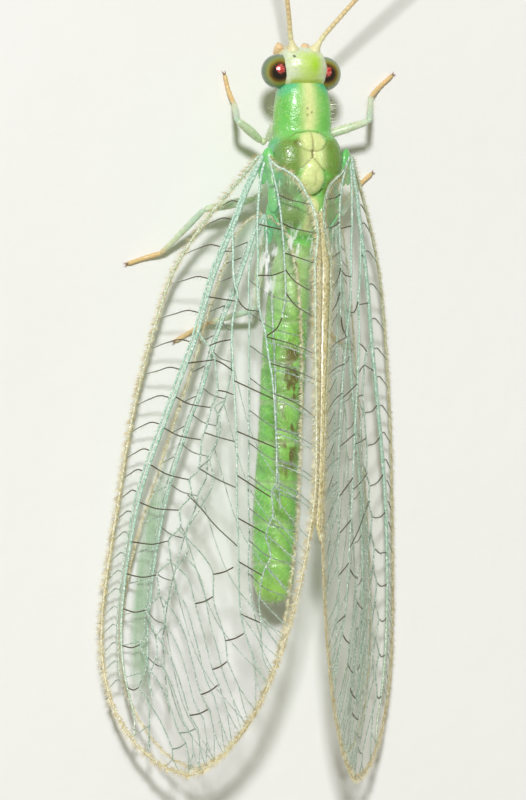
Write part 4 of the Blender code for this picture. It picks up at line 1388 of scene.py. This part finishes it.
def fore_hind_row(art):
    """Branches from the hind vein and the anal vein to the back edge."""
    for share, middle, end in ((.060, .066, .070), (.105, .112, .116), (.153, .157, .165),
                               (.179, .197, .213), (.217, .235, .252)):
        start, back = edge(ANAL_VEIN, share)[0], edge(art.back, end)[0]
        art.vein(((share, start), (middle, start + .35 * (back - start)), (end, back)), (.018, .013),
                 dark=(1.0, .8))
    row = ((.290, .310), (.332, .350), (.379, .411), (.434, .457), (.482, .508), (.520, .550))
    for number, (share, end) in enumerate(row):
        for shift, dark in ((0, 1.0 if number < 3 else .5), (.008, .1)):
            start, back = edge(HIND_VEIN, share + shift)[0], edge(art.back, end + shift)[0]
            bent = (share + shift + .35 * (end - share), (start + back) / 2)
            art.vein(((share + shift, start), bent, (end + shift, back)), (.017, .012), dark=(dark, dark * .7))
    for share, middle, end in ((.535, .569, .603), (.571, .598, .626), (.604, .624, .648), (.654, .676, .700),
                               (.705, .726, .748), (.74, .762, .785)):
        start, back = edge(HIND_VEIN, share)[0], edge(art.back, end)[0]
        art.vein(((share, start), (middle, start + .45 * (back - start)), (end, back)), (.016, .012), dark=.15)


def draw_fore_wing(word):
    art = Drawing(PLANES[word], 0.0, 7 if word == "left" else 8, FORE_FRONT, FORE_BACK[word])
    fore_long_veins(art)
    fore_costal_row(art)
    fore_cross_veins(art)
    fore_branches(art)
    fore_hind_row(art)
    print(word, "fore wing veins", len(art.strands))
    return art


fore_art = {word: draw_fore_wing(word) for word in WING_TIPS}

# %% [markdown]
# ## The hind wing's veins
# The hind wing is the same idea, shorter and paler: a narrow row of short cross-veins along the front,
# one zigzag, and slanting branches to the back edge.

# %% Knots of the hind wing
HIND_RADIUS = ((.092, .04), (.110, .18), (.129, .25), (.175, .37), (.228, .53), (.258, .66), (.301, .79),
               (.337, .86), (.397, 1.00), (.430, 1.13), (.467, 1.23), (.496, 1.32), (.559, 1.46),
               (.616, 1.53), (.67, 1.57), (.752, 1.56), (.802, 1.50), (.850, 1.39), (.885, 1.24))
HIND_CLIMB = ((.30, .42), (.35, .34), (.399, .40), (.422, .51), (.466, .46), (.492, .63), (.518, .59),
              (.553, .74), (.571, .76), (.608, .90), (.659, 1.02), (.724, 1.14), (.78, 1.16), (.83, 1.05),
              (.87, .92), (.905, .80))
HIND_MIDDLE = ((.096, .04), (.14, .18), (.174, .24), (.206, .20), (.264, .07), (.315, -.02), (.392, -.17),
               (.456, -.28), (.545, -.43), (.598, -.55), (.669, -.65), (.732, -.90), (.767, -1.10))
HIND_REAR = ((.096, .02), (.14, -.10), (.20, -.30), (.28, -.52), (.36, -.72), (.46, -.94), (.56, -1.20))


def inside_back_edge(art, knots):
    return [(share, max(across, edge(art.back, share)[0])) for share, across in knots]


def draw_hind_wing(word):
    art = Drawing(PLANES[word], HIND_DROP, 17 if word == "left" else 18, HIND_FRONT[word], HIND_BACK[word])
    first, last = art.front[0][0], art.front[-1][0]
    shares = first + (last - first) * (1 - np.cos(np.pi * np.linspace(0, 1, 80))) / 2
    art.vein(np.column_stack([shares, edge(art.front, shares)]), (.024, .020, .016, .012), gold=(.4, .7, 1))
    art.vein(np.column_stack([shares, edge(art.back, shares)]), (.010, .008, .010), gold=(.2, .3, 1))
    art.vein(HIND_RADIUS, (.050, .042, .034, .022))
    beside = np.linspace(.14, .80, 30)
    art.vein(np.column_stack([beside, edge(HIND_RADIUS, beside) + .08]), (.022, .020, .018))
    art.vein(HIND_CLIMB, (.024, .020, .016))
    art.vein(inside_back_edge(art, HIND_MIDDLE), (.030, .024, .016))
    art.vein(inside_back_edge(art, HIND_REAR), (.026, .020, .014))
    for share in [.145, .170, *np.arange(.20, .86, .050)]:
        foot = (share - .006, edge(HIND_RADIUS, share - .006)[0] + .08)
        dark = np.array((1.0, .7)) * np.interp(share, (.44, .54), (1, .08))
        art.vein((foot, (share + .008, edge(art.front, share + .008)[0])), (.015, .011), dark=dark)
    for share, reach in zip((.27, .32, .38, .425, .475, .54, .61, .68, .75, .82), (1, 2, 3, 3, 5, 7, 9, 10, 11, 12)):
        end = (share + .014, smooth(HIND_CLIMB, share + .014)[0, 0])
        art.vein(((share, edge(HIND_RADIUS, share)[0]), end), (.015, .014), dark=(.8, .6), bend=.05)
    for share in np.arange(.33, .90, .072):
        start = smooth(HIND_CLIMB, share)[0, 0]
        end = min(share + .22, last - .043 + share * .035)
        back = edge(art.back, end)[0]
        split = (share + (end - share) * .60, start + (back - start) * .42)
        art.vein(((share, start), split, (end, back)), (.012, .009), dark=.05)
    for share in np.arange(.20, .72, .052):
        start = smooth(HIND_MIDDLE, share)[0, 0]
        end = share + .030
        art.vein(((share, start), (end, edge(art.back, end)[0])), (.015, .012), dark=(.7, .3), bend=.1)
    print(word, "hind wing veins", len(art.strands))
    return art


hind_art = {word: draw_hind_wing(word) for word in WING_TIPS}

# %% [markdown]
# ## Finishes of the wings
# The membrane is clearer than glass and only a few thousandths of a millimetre thick, so it shows by
# its glints: a faint haze, and colours like a soap bubble's where it turns to the light. White streaks
# near the root, white specks on the veins and the hem, and a tint on the right wing alone are painted
# glints and sheen. The veins are waxy and pale with dark cross-pieces, and the hairs are gold on the
# rim and grey elsewhere.


# %% Wing finishes
def membrane_finish():
    film = Finish("wing_film", roughness=0.22, coat_weight=0.35, coat_roughness=0.10)
    film.shader.inputs["Thin Film Thickness"].default_value = 420.0
    film.shader.inputs["Thin Film IOR"].default_value = 1.45
    crease = film.noise(5.0, 3.0, film.place((1, .35, 1)))
    tint = film.mix(film.paint("haze"), colour(236, 244, 238), colour(160, 214, 170))
    lines = film.band(film.noise(11.0, 3.0, film.place((1, .10, 1))), .38, .66)
    # painted sheen: the right wing's film alone is tinted and clouded, for the light that wing throws back at its
    # steep slant
    tint = film.mix(film.paint("painted_sheen"), tint, film.mix(lines, colour(240, 228, 194), colour(204, 234, 206)))
    tint = film.mix(film.paint("stigma"), tint, colour(170, 210, 168))
    # painted reflection: white streaks where creases of the film near the root would catch the lamp
    painted_glint_streaks = film.band(film.noise(9.0, 4.0, film.place((1, .22, 1))), .50, .60) * film.paint("painted_glint_area")
    tint = film.mix(painted_glint_streaks, tint, colour(252, 252, 250))
    alpha = film.paint("haze") * .12 + film.paint("stigma") * (lines * .22 + .20) + painted_glint_streaks * .75
    alpha = (alpha + film.paint("painted_sheen") * .08 + .008).clamped()
    return film.wear(base_color=tint, alpha=alpha, normal=film.bump(crease, 0.05, 0.35))


def vein_finish():
    wax = Finish("vein_wax", roughness=0.38)
    speck = wax.noise(26.0, 2.0)
    base = wax.mix(wax.band(speck, .40, .58), colour(198, 226, 208), colour(146, 192, 164))
    base = wax.mix(wax.paint("thin"), base, wax.mix(wax.band(speck, .4, .6), colour(176, 200, 182), colour(132, 160, 140)))
    golden = wax.mix(wax.band(speck, .4, .6), colour(226, 216, 174), colour(192, 178, 130))
    base = wax.mix(wax.paint("gold"), base, golden)
    # painted highlight: white specks on the pale veins standing in for glints of the lamp
    painted_sparkle = wax.band(wax.noise(34.0, 1.0), .58, .64) * (1 - wax.paint("dark"))
    base = wax.mix(painted_sparkle, base, colour(248, 252, 244))
    base = wax.mix(wax.paint("dark"), base, colour(74, 64, 38))
    return wax.wear(base_color=base, normal=wax.bump(speck, 0.006))


def hem_finish():
    """The golden, half clear hem along the inner edge of a fore wing, with white specks painted on as sparkle."""
    hem = Finish("golden_hem", roughness=0.30, coat_weight=0.4)
    grain = hem.noise(30.0, 2.0, hem.place((1, .5, 1)))
    base = hem.mix(hem.band(grain, .36, .56), colour(190, 174, 112), colour(226, 216, 160))
    # painted highlight: white specks standing in for glints of the lamp on the hem
    base = hem.mix(hem.band(hem.noise(42.0, 1.0), .58, .64), base, colour(252, 252, 240))
    return hem.wear(base_color=base, alpha=hem.band(grain, .1, .7) * .30 + .60, normal=hem.bump(grain, .006))


WING_FILM = membrane_finish()
VEIN_WAX = vein_finish()
GOLDEN_HEM = hem_finish()
GOLD_HAIR = hair_finish("gold_hair", colour(200, 180, 124), colour(244, 234, 196))
GREY_HAIR = hair_finish("grey_hair", colour(164, 174, 154), colour(232, 238, 224))

# %% [markdown]
# ## The wings
# Each membrane is a closed sheet over the flat drawing, and the veins are swept bars that stand half
# out of it on both sides. Then the hairs: short ones on every vein, and a dense golden fringe round
# the rim.

# %% Membranes
FILM_THICKNESS = 0.006
FILM_ROWS, FILM_COLUMNS = 150, 44


def make_membrane(name, plane, front, back, height):
    first, last = front[0][0], front[-1][0]
    rows = first + (last - first) * (1 - np.cos(np.pi * np.linspace(.004, .996, FILM_ROWS))) / 2
    columns = np.linspace(0, 1, FILM_COLUMNS)
    low, high = edge(back, rows)[:, None], edge(front, rows)[:, None]
    across = low + (high - low) * columns
    share = np.broadcast_to(rows[:, None], across.shape)
    sheets = [plane.at(share, across, height + lift) for lift in (FILM_THICKNESS, -FILM_THICKNESS)]
    rings = np.concatenate([sheets[0], sheets[1][:, ::-1]], axis=1)
    points, faces = skin_over(rings)
    reach = (share - first) / (last - first)
    fore = height == 0
    # how far in front of the wing's own radius
    beside = across - edge(FORE_RADIUS if fore else HIND_RADIUS, rows)[:, None]
    fields = {
        "haze": 1 - soft_step(reach, .02, .12),
        # painted sheen on the right wing only
        "painted_sheen": np.full(across.shape, float(plane.side > 0)),
        # painted glints on the fore wing's film near the root
        "painted_glint_area": fore * (np.exp(-((share - .19) / .055)**4 - ((across + .39) / .20)**2)
                        + np.exp(-((share - .135) / .020)**2 - ((across + 1.0) / .30)**2)),
        "stigma": (.22 if fore else 1.0) * soft_step(share, .46, .60) * (1 - soft_step(share, .82, .93))
        * soft_step(beside, -.05, .05) * (1 - (not fore) * soft_step(beside, .34, .48)),
    }
    fields = {field: np.concatenate([v, v[:, ::-1]], axis=1).ravel() for field, v in fields.items()}
    return make_piece(name, points, faces, WING_FILM, fields)


def make_hem(word):
    """A narrow strip that folds down from the inner edge to just short of the other wing's."""
    shares = np.linspace(.085, .62, 120)
    rims = {w: PLANES[w].at(shares, edge(FORE_BACK[w], shares)) for w in PLANES}
    plane, rim = PLANES[word], rims[word]
    inward = (rims["left"] + rims["right"]) / 2 - rim
    reach = np.linalg.norm(inward, axis=1, keepdims=True)
    fade = np.minimum(1, (.625 - shares) / .06)[:, None]
    low = rim + unit(inward) * np.minimum(reach - .008, .20 * fade) + np.array([0, 0, -.05])
    thick = plane.out * FILM_THICKNESS
    rings = np.stack([rim + thick, low + thick, low - thick, rim - thick], axis=1)
    hem = make_piece("forewing_" + word + "_hem", *skin_over(rings), GOLDEN_HEM)
    settle(hem, "wing")


def make_wing(kind, word, art, front, back, hair_length, fringe_length):
    name = kind + "_" + word
    film = make_membrane(name + "_film", art.plane, front, back, art.height)
    wire = make_wire(name + "_wire", art.strands)
    veins = sweep.make(name + "_veins", wire, {"Sides": 7, "Finish": VEIN_WAX})
    hairs = wire_hairs.make(name + "_hairs", wire, {
        "Spacing": .048 * MM, "Length": hair_length * MM, "Thickness": .0060 * MM, "Rise": .4,
        "Fan": 1.2, "Lean": .75, "Seed": 41, "Finish": GREY_HAIR})
    drop(wire)
    rim = make_wire(name + "_rim", art.strands[:2])
    fringe = wire_hairs.make(name + "_fringe", rim, {
        "Spacing": .0075 * MM, "Length": fringe_length * MM, "Thickness": .0072 * MM, "Rise": .7,
        "Fan": 1.2, "Lean": .6, "Seed": 51, "Finish": GOLD_HAIR})
    drop(rim)
    settle(film, "wing", kind + "_" + word)
    for piece in (veins, hairs, fringe):
        settle(piece, "wing")


for word in WING_TIPS:
    make_wing("forewing", word, fore_art[word], FORE_FRONT, FORE_BACK[word], .12, .155)
    make_hem(word)
    make_wing("hindwing", word, hind_art[word], HIND_FRONT[word], HIND_BACK[word], .070, .09)

# %% [markdown]
# ## The wing hinges
# Where a wing meets the body sit small hard plates, a vivid green scale over the root and a cord that
# runs from the back edge of the wing to the middle of the back. They hide the joint between the clear
# wing and the solid body.


# %% Hinge plates and cords
def lump(centre, radii, tilt, around=26, rings=18):
    """A rounded plate: a ball stretched to its radii and tilted about the body's long axis."""
    turn = np.linspace(.05, np.pi - .05, rings)
    angles = np.linspace(0, 2 * np.pi, around, endpoint=False)
    ball = np.stack([np.sin(turn)[:, None] * np.cos(angles), np.cos(turn)[:, None] * np.ones(around),
                     np.sin(turn)[:, None] * np.sin(angles)], -1) * np.array(radii)
    c, s = math.cos(tilt), math.sin(tilt)
    turned = np.stack([ball[..., 0] * c - ball[..., 2] * s, ball[..., 1],
                       ball[..., 0] * s + ball[..., 2] * c], -1)
    return skin_over(turned + np.array(centre))


def make_hinge(word, side):
    tilt = -side * .6
    plates = [
        lump((side * .88, 4.98, 2.29), (.14, .27, .08), tilt), lump((side * .80, 4.74, 2.33), (.12, .28, .06), tilt),
        lump((side * .96, 4.76, 2.20), (.10, .28, .06), tilt), lump((side * .70, 4.22, 2.14), (.12, .32, .06), tilt),
        lump((side * .68, 3.86, 2.02), (.13, .34, .06), tilt), lump((side * .72, 3.55, 1.92), (.10, .30, .05), tilt),
    ]
    cord, share = along_path(((side * .74, 3.88, 2.20), (side * .56, 3.62, 2.22), (side * .34, 3.46, 2.16)), .02)
    plates.append(skin_over(rings_round(cord, np.interp(share, [0, .5, 1], [.03, .026, .018]), 14)))
    points, faces = join(plates)
    count = len(points)
    fields = {field: np.zeros(count) for field in ("cream", "olive", "lime", "mottle_and_shade", "pale", "seam", "hair")}
    fields["turquoise"] = np.clip((4.6 - points[:, 1]) * .6, .25, .7)
    hinge = make_piece("hinge_" + word, points, faces, BODY_WAX, fields)
    settle(hinge, "body_skin")


for word, side in (("left", -1), ("right", 1)):
    make_hinge(word, side)

# %% [markdown]
# ## Floor, light and camera
# The insect stands on a pale plaster wall turned into a floor. One soft lamp beside the camera gives
# the short shadows of a flash, a pale sky fills them, and the camera looks down at the same slight
# angle as the photograph, from far enough away to keep the wings in proportion.


# %% Floor
def floor_finish():
    plaster = Finish("pale_plaster", roughness=0.85)
    broad = plaster.noise(.12, 4.0)
    fine = plaster.noise(1.1, 5.0)
    base = plaster.mix(broad, colour(238, 237, 232), colour(244, 243, 240))
    return plaster.wear(base_color=base, normal=plaster.bump(fine + broad * 2, .05, .35))


def make_floor(half=600.0):
    mesh = bpy.data.meshes.new("floor")
    corners = [(-half, -half, -.002), (half, -half, -.002), (half, half, -.002), (-half, half, -.002)]
    mesh.from_pydata((np.array(corners) * MM).tolist(), [], [(0, 1, 2, 3)])
    mesh.materials.append(floor_finish())
    floor = bpy.data.objects.new("floor", mesh)
    bpy.context.scene.collection.objects.link(floor)


make_floor()

# %% Camera
LEAN = math.radians(22)         # how far the camera stands to the insect's left of straight above
CAMERA_DISTANCE = 165.0
FRAME_HEIGHT = 800 / 48         # the photograph's 800 rows at 48 to the millimetre
SENSOR = 24.0
AIM = np.array([-.8755, 0.0, 2.0])
to_camera = np.array([-math.sin(LEAN), 0, math.cos(LEAN)])
image_right = Vector((math.cos(LEAN), 0, math.sin(LEAN)))
image_up = Vector((0, 1, 0))


def make_camera():
    data = bpy.data.cameras.new("camera")
    data.sensor_fit = "VERTICAL"
    data.sensor_height = SENSOR
    data.lens = SENSOR * CAMERA_DISTANCE / FRAME_HEIGHT
    data.clip_start, data.clip_end = 0.01, 10
    camera = bpy.data.objects.new("camera", data)
    bpy.context.scene.collection.objects.link(camera)
    matrix = camera.matrix_world.to_3x3()
    matrix.col[0], matrix.col[1], matrix.col[2] = image_right, image_up, Vector(to_camera)
    camera.matrix_world = matrix.to_4x4()
    camera.location = to_frame(AIM + to_camera * CAMERA_DISTANCE)
    bpy.context.scene.camera = camera


make_camera()

# %% Lamp and sky
LAMP_DIRECTION = unit(np.array([-.40, .36, 1.0]))
LAMP_DISTANCE, LAMP_SIZE = 300.0, 30.0


def make_light():
    lamp = bpy.data.lights.new("flash", "AREA")
    lamp.shape, lamp.size, lamp.energy = "DISK", LAMP_SIZE * MM, 0.80
    lamp.color = (0.94, 0.95, 1.0)
    holder = bpy.data.objects.new("flash", lamp)
    holder.location = to_frame(AIM + LAMP_DIRECTION * LAMP_DISTANCE)
    holder.rotation_euler = Vector(LAMP_DIRECTION).to_track_quat("Z", "Y").to_euler()
    bpy.context.scene.collection.objects.link(holder)
    world = bpy.data.worlds.new("sky")
    world.use_nodes = True
    world.node_tree.nodes["Background"].inputs["Color"].default_value = (1.0, 0.98, 0.76, 1)
    world.node_tree.nodes["Background"].inputs["Strength"].default_value = 0.28
    bpy.context.scene.world = world
    bpy.context.scene.view_settings.view_transform = "Standard"


make_light()
